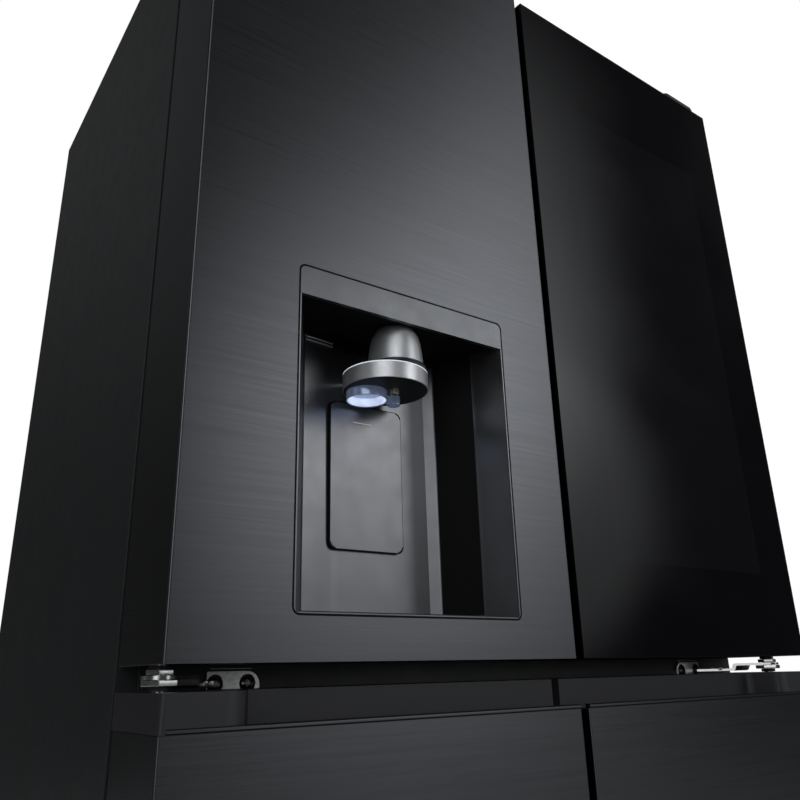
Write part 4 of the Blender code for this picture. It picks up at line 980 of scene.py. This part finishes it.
def make_middle_hinge(side, name):
    """Bracket between the doors, with its rivets, lid, pin sleeves, screws and nuts."""
    base, back = UPPER_Z, CASE_FRONT_Y - 0.0003
    screws_x, screw_z = (0.366, 0.3335), base - 0.0158
    pivot = (side * PIVOT_X, PIVOT_Y)
    hinge_bracket(side, name, back, screws_x, screw_z)
    rivets, sleeves = Shape(), Shape()
    rivet_x, rivet_z = (side * 0.38, side * 0.384), (base - 0.0168, base - 0.013)
    for y in (back - 0.02, back - 0.033):
        rivets.block(rivet_x, (y - 0.0012, y + 0.0012), rivet_z, 0.0004)
    rivets.piece(f"bracket_rivets_{name}", "cabinet", "zinc_steel")
    lid_x, lid_z = (side * 0.37, side * 0.3287), (base - 0.003, base - 0.0022)
    lid = Shape().block(lid_x, (back - 0.0012, back + 0.0001), lid_z, 0.0002)
    lid.piece(f"bracket_lid_{name}", "cabinet", "zinc_steel")
    for z in ((base - 0.0031, base - 0.0002), (LOWER_PIN_Z + 0.0165, LOWER_PIN_Z + 0.0203)):
        sleeves.lathe(rectangle((0.0062, 0.009), z), (*pivot, 0.0), "Z", 32)
    sleeves.piece(f"pin_sleeves_{name}", "cabinet", "foot_plastic")
    places = [(side * x, back + 0.0002, screw_z) for x in screws_x]
    screws(f"bracket_screws_{name}", "screw_steel", places, out=-1, radius=0.0058, height=0.0028)
    lower = limits(f"hinge_nut_{name}", 2)
    hex_nut(f"lower_nut_{name}", pivot, 0.0162, *lower, f"hinge_nut_{name}")
    hex_nut(f"upper_nut_{name}", pivot, 0.0122, base - 0.0077, base - 0.0033)


def hex_nut(name, centre, radius, low, high, *replaced):
    """Six-sided nut with its corners turned off, round the hinge's pin."""
    nut = Shape().sweep(hexagon(centre, radius, 12), "Z", low, high, 0.0007, 2).object(name)
    carve(nut, Shape().sweep(circle(centre, 0.0063, 24), "Z", low - 0.01, high + 0.01))
    finish_piece(nut, "cabinet", "zinc_steel", *replaced, angle=30)


def make_hinge_covers():
    """Rounded plastic covers over the top hinges, each held by a screw."""
    for _, name in SIDES:
        (x0, y0, z0), (x1, y1, z1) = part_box(f"hinge_cover_{name}")
        x, y, wall = (x0, x1), (y0, y1), 0.002
        cover = Shape().block(x, y, (z0 - 0.012, z1), 0.009, 6).object(f"hinge_hood_{name}")
        inside = Shape().block(grown(x, -wall), grown(y, -wall), (z0 - 0.03, z1 - wall), 0.0075, 4)
        below = Shape().block(grown(x, 0.01), grown(y, 0.01), (z0 - 0.05, z0), 0)
        place = ((x0 + x1) / 2, y1 - 0.03, z1 - 0.0012)
        dish = Shape().lathe([(0, 0), (0.007, 0), (0.0085, 0.01), (0, 0.01)], place)
        carve(cover, inside, below, dish)
        round_edges(cover, 0.0004, 2, 50)
        finish_piece(cover, "cabinet", "cover_plastic", f"hinge_cover_{name}")
        screws(f"hood_screw_{name}", "zinc_steel", [place], "Z", 1, 0.0042, 0.0012)


# --- Cold spaces ---

CAVITY_X = 0.404
FREEZER_SEAM_X = 0.03
SHELVES = ("shelf_lower", "shelf_upper", "crisper_cover")


def make_shelves():
    """Glass shelves and crisper cover, each in a moulded frame with a raised front and back."""
    for node in SHELVES:
        (x0, y0, z0), (x1, y1, z1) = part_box(node)
        x, y = grown((x0, x1), -0.003), grown((y0, y1), -0.006)
        glass = Shape().block(x, y, (z1 - 0.0044, z1 - 0.0002), 0.0008)
        glass.piece(f"{node}_pane", "cabinet", "shelf_glass", node)
        trim, seat_z = Shape(), z1 - 0.0047
        for edge, way in ((y0, 1), (y1, -1)):
            inner, lip = edge + way * 0.018, edge + way * 0.0056
            corners = [(edge, z0), (inner, z0), (inner, seat_z), (lip, seat_z), (lip, z1), (edge, z1)]
            trim.sweep(fillet(corners, [0.003, 0.001, 0.001, 0, 0.001, 0.002], 3), "X", x0, x1, 0.0006)
        for edge, way in ((x0, 1), (x1, -1)):
            trim.block((edge, edge + way * 0.014), grown((y0, y1), -0.0185), (z0, seat_z), 0.001)
        trim.piece(f"{node}_trim", "cabinet", "liner_plastic")


def make_supports():
    """Ledges on the side walls that carry the shelves and the drawers."""
    ledges = Shape()

    def ledge(node, side, near, far, y, thickness):
        low = limits(node, 2)[0]
        z = (low - thickness, low - 0.0005)
        ledges.block((side * near, side * far), y, z, 0.003, 3)

    wall, seam = CAVITY_X - 0.0003, FREEZER_SEAM_X + 0.0003
    for node in SHELVES:
        for side, _ in SIDES:
            ledge(node, side, CAVITY_X - 0.012, wall, (-0.115, 0.255), 0.0105)
    for side, name in SIDES:
        for near, far in ((wall, CAVITY_X - 0.022), (seam, FREEZER_SEAM_X + 0.028)):
            ledge(f"freezer_drawer_upper_{name}", side, near, far, (-0.205, 0.245), 0.0115)
        for near in (CAVITY_X - 0.03, FREEZER_SEAM_X + 0.03):
            ledge(f"freezer_drawer_lower_{name}", side, near, near + 0.01, (-0.205, 0.095), 0.0095)
    ledges.piece("side_ledges", "cabinet", "liner_plastic")


def make_drawers():
    """Clear crispers and freezer drawers with a deeper front, a rolled rim and a grip."""
    kinds = ("crisper_drawer", "freezer_drawer_upper", "freezer_drawer_lower")
    for node in [f"{kind}_{name}" for kind in kinds for _, name in SIDES]:
        (x0, y0, z0), (x1, y1, z1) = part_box(node)
        box = Shape().tub((x0, x1), (y0 + 0.0065, y1), (z0, z1), 0.003, 0.006, 0.004)
        box.piece(f"{node}_box", "cabinet", "clear_plastic", node)
        front = Shape().block((x0, x1), (y0 + 0.001, y0 + 0.0055), (z0 + 0.002, z1), 0.0018, 3)
        grip_z = (z1 - 0.03, z1 - 0.018)
        front.block(grown((x0, x1), -0.04), (y0 - 0.003, y0 + 0.003), grip_z, 0.0022, 3)
        front.piece(f"{node}_front", "cabinet", "clear_plastic")


def make_lamps_and_ducts():
    """Ceiling and side lamps, and the fins in the air duct's vents."""
    lamps = Shape()
    top, freezer_top = 1.698, 0.781
    lamps.block((-0.2, 0.2), (-0.215, -0.188), (top - 0.0042, top - 0.0003), 0.0015)
    for side, _ in SIDES:
        x = (side * (CAVITY_X - 0.0032), side * (CAVITY_X - 0.0003))
        lamps.block(x, (-0.215, -0.197), (1.12, 1.62), 0.0012)
        z = (freezer_top - 0.0038, freezer_top - 0.0003)
        lamps.block((side * 0.12, side * 0.3), (-0.225, -0.205), z, 0.0014)
    lamps.piece("lamp_covers", "cabinet", "lamp_cover")
    fins = Shape()
    y0, z0 = limits("duct_panel", 1)[0], limits("duct_panel", 2)[0]
    for row in range(4):
        z = (z0 + 0.0503 + row * 0.14, z0 + 0.0617 + row * 0.14)
        for start in (-0.12, 0.04):
            for i in range(1, 8):
                x = start + 0.01 * i
                fins.block((x - 0.0007, x + 0.0007), (y0 + 0.0012, y0 + 0.0076), z, 0.0003)
    fins.piece("duct_fins", "cabinet", "liner_plastic")


# --- Back, machine compartment and base ---

def make_rear_panel():
    """Steel back with long pressed beads."""
    (x0, y0, z0), (x1, y1, z1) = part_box("rear_panel")
    sheet, depth, half = y1 - y0, 0.004, 0.016
    middles = [0.17 * i for i in range(-2, 3)]
    low, high = z0 + 0.08, z1 - 0.08
    steps = [0.25 * i for i in range(-4, 5)]
    xs = [x0, *(m + half * s for m in middles for s in steps), x1]
    zs = [z0, *(low + half * s for s in steps), *(high + half * s for s in steps), z1]

    def height(x, z):
        nearest = min(middles, key=lambda m: abs(m - x))
        beyond = max(low - z, z - high, 0.0)
        share = max(0.0, 1.0 - math.hypot(x - nearest, beyond) / half)
        return depth * share * share * (3 - 2 * share)

    rings = []
    for x in xs:
        outside = [(x, y1 + height(x, z), z) for z in zs]
        rings.append(outside + [(x, y - sheet, z) for x, y, z in reversed(outside)])
    panel = Shape()
    panel.loft(rings)
    panel.piece("rear_sheet", "cabinet", "galvanised_steel", "rear_panel", angle=25)


def make_rear_screws():
    """Screws round the steel back and round the louvred cover below it."""
    (x0, _, z0), (x1, y, z1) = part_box("rear_panel")
    edge = 0.01
    places = [(x, y, z) for x in (x0 + edge, x1 - edge) for z in (z0 + 0.03, 0.64, 1.02, 1.38, z1 - 0.03)]
    places += [(x, y, z1 - edge) for x in (-0.25, 0.25)]
    screws("rear_sheet_screws", "zinc_steel", places)
    (_, _, low), (_, y, high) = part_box("rear_cover")
    places = [(x, y, high - 0.006) for x in (-0.42, -0.14, 0.14, 0.42)]
    places += [(x, y, low + 0.06) for x in (-0.44, 0.44)]
    screws("rear_cover_screws", "zinc_steel", places, height=0.0018)


def make_water_inlet():
    """Inlet valve on the back, and the tube that climbs to the top."""
    y = limits("rear_panel", 1)[1]
    x, z, valve_y = 0.4, 0.335, y + 0.0112
    plate = Shape().block((x - 0.03, x + 0.03), (y + 0.0003, y + 0.0022), (z - 0.03, z + 0.022), 0.0007)
    plate.piece("valve_plate", "cabinet", "zinc_steel")
    body = Shape().block((x - 0.018, x + 0.018), (y + 0.0026, y + 0.019), (z - 0.01, z + 0.008), 0.002)
    coil = [(0, 0.0085), (0.0078, 0.0085), (0.0078, 0.028), (0.0066, 0.0295), (0, 0.0295)]
    for offset in (-0.01, 0.01):
        body.lathe(coil, (x + offset, valve_y, z), "Z", 24)
    body.piece("valve_body", "cabinet", "liner_plastic")
    thread = [(0, -0.0105)]
    for i in range(7):
        thread += [(0.0082, -0.011 - 0.002 * i), (0.0074, -0.012 - 0.002 * i)]
    thread += [(0.006, -0.0255), (0, -0.0255)]
    thread = Shape().lathe(thread, (x, valve_y, z), "Z", 32)
    thread.piece("valve_inlet", "cabinet", "water_tip_metal")
    corners = [(x - 0.019, z), (x - 0.075, z), (x - 0.075, 1.66), (x - 0.045, 1.66)]
    upright_tube(Shape(), corners, 0.022, y + 0.0062).piece("water_tube", "cabinet", "cover_plastic")
    clips = Shape()
    for low in (0.5, 0.86, 1.22, 1.56):
        clips.block((x - 0.084, x - 0.066), (y + 0.0003, y + 0.0108), (low, low + 0.008), 0.0015)
    clips.piece("tube_clips", "cabinet", "cover_plastic")


def upright_tube(shape, corners, bend, y):
    """Adds a thin pipe in an upright plane, bent round the corners between its two ends."""
    path = fillet(corners, [0, bend, bend, 0], 8, closed=False)
    return shape.tube([(x, y, z) for x, z in path], 0.0032, 12)


def make_compressor():
    """Welded compressor shell on its feet, with pipes and the terminal box."""
    (x0, y0, z0), (x1, y1, _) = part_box("compressor")
    x, y = (x0 + x1) / 2, (y0 + y1) / 2
    shell = [(0, 0.018), (0.046, 0.018), (0.06, 0.026), (0.0665, 0.04), (0.067, 0.088)]
    shell += [(0.0705, 0.0885), (0.0705, 0.093), (0.067, 0.0935), (0.0665, 0.128), (0.058, 0.15)]
    shell = Shape().lathe([*shell, (0.04, 0.164), (0, 0.1695)], (x, y, z0), "Z", 64)
    shell.piece("compressor_shell", "cabinet", "case_paint", "compressor", angle=50)
    feet = Shape()
    foot = [(0, 0), (0.0105, 0), (0.011, 0.002), (0.0085, 0.006), (0.0105, 0.01)]
    foot += [(0.008, 0.0155), (0, 0.0155)]
    for dx in (-0.052, 0.052):
        for dy in (-0.048, 0.048):
            feet.lathe(foot, (x + dx, y + dy, z0), "Z", 24)
    feet.piece("compressor_feet", "cabinet", "foot_plastic")
    plate = Shape().block((x - 0.066, x + 0.066), (y - 0.062, y + 0.062), (z0 + 0.0158, z0 + 0.018), 0.0008)
    plate.piece("compressor_plate", "cabinet", "galvanised_steel")
    box = Shape().block((x - 0.098, x - 0.0685), (y - 0.028, y + 0.028), (z0 + 0.045, z0 + 0.105), 0.004, 3)
    box.piece("terminal_box", "cabinet", "cover_plastic")
    pipes = Shape()
    for offset, top, run in ((-0.02, 0.22, 0.1), (0.018, 0.2, 0.14)):
        corners = [(x + offset, z0 + 0.15), (x + offset, top), (x - run, top), (x - run, 0.06)]
        upright_tube(pipes, corners, 0.018, y + offset)
    pipes.piece("refrigerant_pipes", "cabinet", "water_tip_metal")


def fan_blade(number):
    """Sections of one twisted blade of the fan, from its hub to its tip."""
    x, y, z = FAN_CENTRE
    rings = []
    for i in range(7):
        t = i / 6
        radius = 0.0185 + (0.0775 - 0.0185) * t
        chord, pitch = 0.026 + 0.018 * t, math.radians(38 - 14 * t)
        start = 2 * math.pi * number / 5 + 0.35 * t * t
        section = []
        for k in range(16):
            turn = 2 * math.pi * k / 16
            s = math.cos(turn) * 0.5
            off = 0.0011 * math.sin(turn) + 0.1 * chord * (1 - 4 * s * s)
            across = s * chord * math.cos(pitch) - off * math.sin(pitch)
            along = s * chord * math.sin(pitch) * 0.75 + off * math.cos(pitch) * 0.75
            angle = start + across / radius
            section.append((x + radius * math.cos(angle), y + along, z + radius * math.sin(angle)))
        rings.append(section)
    return rings


def make_fan():
    """Condenser fan with five blades, in a shroud with its motor on three arms."""
    x, y, z = FAN_CENTRE
    dome = [(0, -0.0118), (0.0165, -0.0118), (0.0192, -0.01), (0.0198, 0.011), (0, 0.0112)]
    blades = Shape().lathe(dome, FAN_CENTRE, "Y", 40)
    for number in range(5):
        blades.loft(fan_blade(number))
    blades.piece("fan_blades", "fan", "foot_plastic", "condenser_fan", angle=50)
    outline = fillet(rectangle(grown((x, x), 0.096), grown((z, z), 0.096)), 0.014, 6)
    shroud = Shape().sweep(outline, "Y", y - 0.016, y + 0.016, 0.001).object("fan_shroud")
    carve(shroud, Shape().sweep(circle((x, z), 0.0805, 72), "Y", y - 0.03, y + 0.03))
    finish_piece(shroud, "cabinet", "cover_plastic", angle=30)
    case = [(0, -0.046), (0.022, -0.046), (0.0265, -0.042), (0.0265, -0.017), (0.02, -0.0145)]
    motor = Shape().lathe([*case, (0, -0.0145)], FAN_CENTRE, "Y", 40)
    for i in range(3):
        a = 2 * math.pi * i / 3 + 0.5
        path = []
        for r, t in ((0.022, 0), (0.05, 0.4), (0.085, 1)):
            path.append((x + r * math.cos(a), y - 0.03 + 0.014 * t, z + r * math.sin(a)))
        motor.tube(path, 0.0035, 10)
    motor.piece("fan_motor", "cabinet", "cover_plastic")


def make_condenser_coil():
    """Bare pipe folded into rows in front of the fan."""
    x, y, _ = FAN_CENTRE
    rows, reach, coil = 8, 0.085, []
    for row in range(rows):
        way = 1 if row % 2 else -1
        height = 0.075 + 0.022 * row
        coil += [(x - way * reach, height), (x + way * reach, height)]
    path = [(a, y - 0.066, b) for a, b in fillet(coil, 0.0105, 6, closed=False)]
    Shape().tube(path, 0.0035, 10).piece("condenser_coil", "cabinet", "case_paint")


def make_feet_and_rollers():
    """Levelling feet with threaded stems, and rollers with a soft tread."""
    pad = [(0, 0), (0.015, 0), (0.0172, 0.0008), (0.018, 0.0028), (0.018, 0.0048), (0.0168, 0.0064)]
    pad += [(0.01, 0.0078), (0, 0.0078)]
    stem = [(0, 0.0078), (0.0048, 0.0078)]
    for i in range(18):
        stem += [(0.005, 0.0128 + 0.0014 * i), (0.0042, 0.0135 + 0.0014 * i)]
    stem += [(0.0038, 0.0388), (0, 0.039)]
    tread = [(0.0032, 0.007), (0.012, 0.007), (0.0125, 0.0078), (0.017, 0.0078), (0.018, 0.0066)]
    axle = [(0, 0.0143), (0.0024, 0.0143), (0.0029, 0.0138)]
    tread, axle = ([(r, -h) for r, h in half] + half[::-1] for half in (tread, axle))
    for _, name in SIDES:
        foot, roller = f"foot_{name}", f"roller_{name}"
        x, y, _ = middle_of(f"levelling_foot_{name}")
        wide = Shape().lathe(pad, (x, y, 0.0), "Z", 48)
        wide.piece(f"foot_pad_{name}", foot, "foot_plastic", f"levelling_foot_{name}")
        rod = Shape().lathe(stem, (x, y, 0.0), "Z", 32)
        rod.sweep(hexagon((x, y), 0.0095), "Z", 0.008, 0.0116, 0.0005)
        rod.piece(f"foot_stem_{name}", foot, "zinc_steel")
        place = middle_of(f"rear_roller_{name}")
        wheel = Shape().lathe(tread, place, "X", 48)
        wheel.piece(f"roller_wheel_{name}", roller, "foot_plastic", f"rear_roller_{name}")
        Shape().lathe(axle, place, "X", 24).piece(f"roller_axle_{name}", roller, "zinc_steel")


# --- Stage: floor, light and camera ---

# Soft lights: degrees right of straight ahead of the doors, degrees up, half-widths across and up,
# the share of them that is even before the light fades, and strength
SOFT_LIGHTS = (
    (44.5, 26, 11, 26.5, 0.0, 1.18),
    (34, 20.5, 22, 17.5, 0.03, 2.0),
    (37.5, 11.5, 18.5, 16, 0.72, 0.58),
    (-40, 20, 30, 30, 0.4, 1.35),
    (-14, 42, 20, 20, 0.2, 0.8),
    (0, 90, 30, 30, 0.3, 0.8),
    (94, 30, 32, 26, 0.3, 0.6),
    (-122, 22, 26, 34, 0.0, 0.25),
    (-164, 38, 26, 34, 0.0, 0.05),
)
ROOM_LIGHT = 0.025


def make_world():
    """A dim room with soft lights round the appliance, before a white backdrop."""
    world = bpy.data.worlds.new("studio")
    bpy.context.scene.world = world
    world.use_nodes = True
    tree = world.node_tree
    tree.nodes.clear()

    def node(kind, *inputs, **settings):
        return add_node(tree, kind, dict(enumerate(inputs)), **settings)

    def calculate(operation, *values):
        return node("Math", *values, operation=operation).outputs[0]

    direction = node("TexCoord").outputs["Generated"]
    total = ROOM_LIGHT
    for azimuth, height, half_across, half_up, even, strength in SOFT_LIGHTS:
        turn = Matrix.Rotation(math.radians(azimuth), 3, "Z") @ Matrix.Rotation(-math.radians(height), 3, "X")
        across, ahead, up = (turn @ Vector(axis) for axis in ((1, 0, 0), (0, -1, 0), (0, 0, 1)))

        def along(axis):
            return node("VectorMath", direction, axis, operation="DOT_PRODUCT").outputs["Value"]

        u = calculate("DIVIDE", along(across), math.sin(math.radians(half_across)))
        v = calculate("DIVIDE", along(up), math.sin(math.radians(half_up)))
        squares = calculate("ADD", calculate("MULTIPLY", u, u), calculate("MULTIPLY", v, v))
        distance = calculate("SQRT", squares)
        shape = node("MapRange", distance, even, 1.0, strength, 0.0, interpolation_type="SMOOTHERSTEP")
        facing = calculate("GREATER_THAN", along(ahead), 0.0)
        total = calculate("ADD", calculate("MULTIPLY", shape.outputs["Result"], facing), total)

    lit = node("Background", (0.96, 0.98, 1.0, 1.0), total)
    white = node("Background", (1.0, 1.0, 1.0, 1.0), 1.0)
    seen = node("LightPath").outputs["Is Camera Ray"]
    chosen = node("MixShader", seen, lit.outputs[0], white.outputs[0])
    node("OutputWorld", chosen.outputs[0])


def make_stage():
    """Pale floor under the appliance."""
    half = 4.0
    floor = Shape()
    floor.block((-half, half), (-half, half), (-0.02, -0.0002), 0)
    floor = floor.object("floor")
    floor.data.materials.append(MATERIALS["floor"])


def make_camera():
    """Close, low view of the upper left door from its left."""
    data = bpy.data.cameras.new("camera")
    data.lens = 34.75
    data.sensor_width = 36.0
    data.clip_start = 0.01
    camera = bpy.data.objects.new("camera", data)
    camera.location = (-0.6647, -0.9686, 0.8245)
    camera.rotation_euler = [math.radians(a) for a in (109.56, 1.36, -35.4)]
    bpy.context.scene.collection.objects.link(camera)
    bpy.context.scene.camera = camera


def main():
    """Builds every piece, then dresses the CAD nodes that still show, and lights the stage."""
    make_materials()
    make_left_skin()
    make_lower_fronts()
    make_seals()
    make_door_linings()
    make_left_door_fittings()
    make_flap()
    make_right_door()
    make_tub()
    make_recess_top()
    make_recess_trim()
    make_paddle()
    make_nozzle()
    make_outlets()
    for side, name in SIDES:
        make_middle_hinge(side, name)
    make_hinge_covers()
    make_shelves()
    make_supports()
    make_drawers()
    make_lamps_and_ducts()
    make_rear_panel()
    make_rear_screws()
    make_water_inlet()
    make_compressor()
    make_fan()
    make_condenser_coil()
    make_feet_and_rollers()
    dress_cad()
    make_world()
    make_stage()
    make_camera()
    bpy.context.scene.view_settings.view_transform = "Standard"


main()
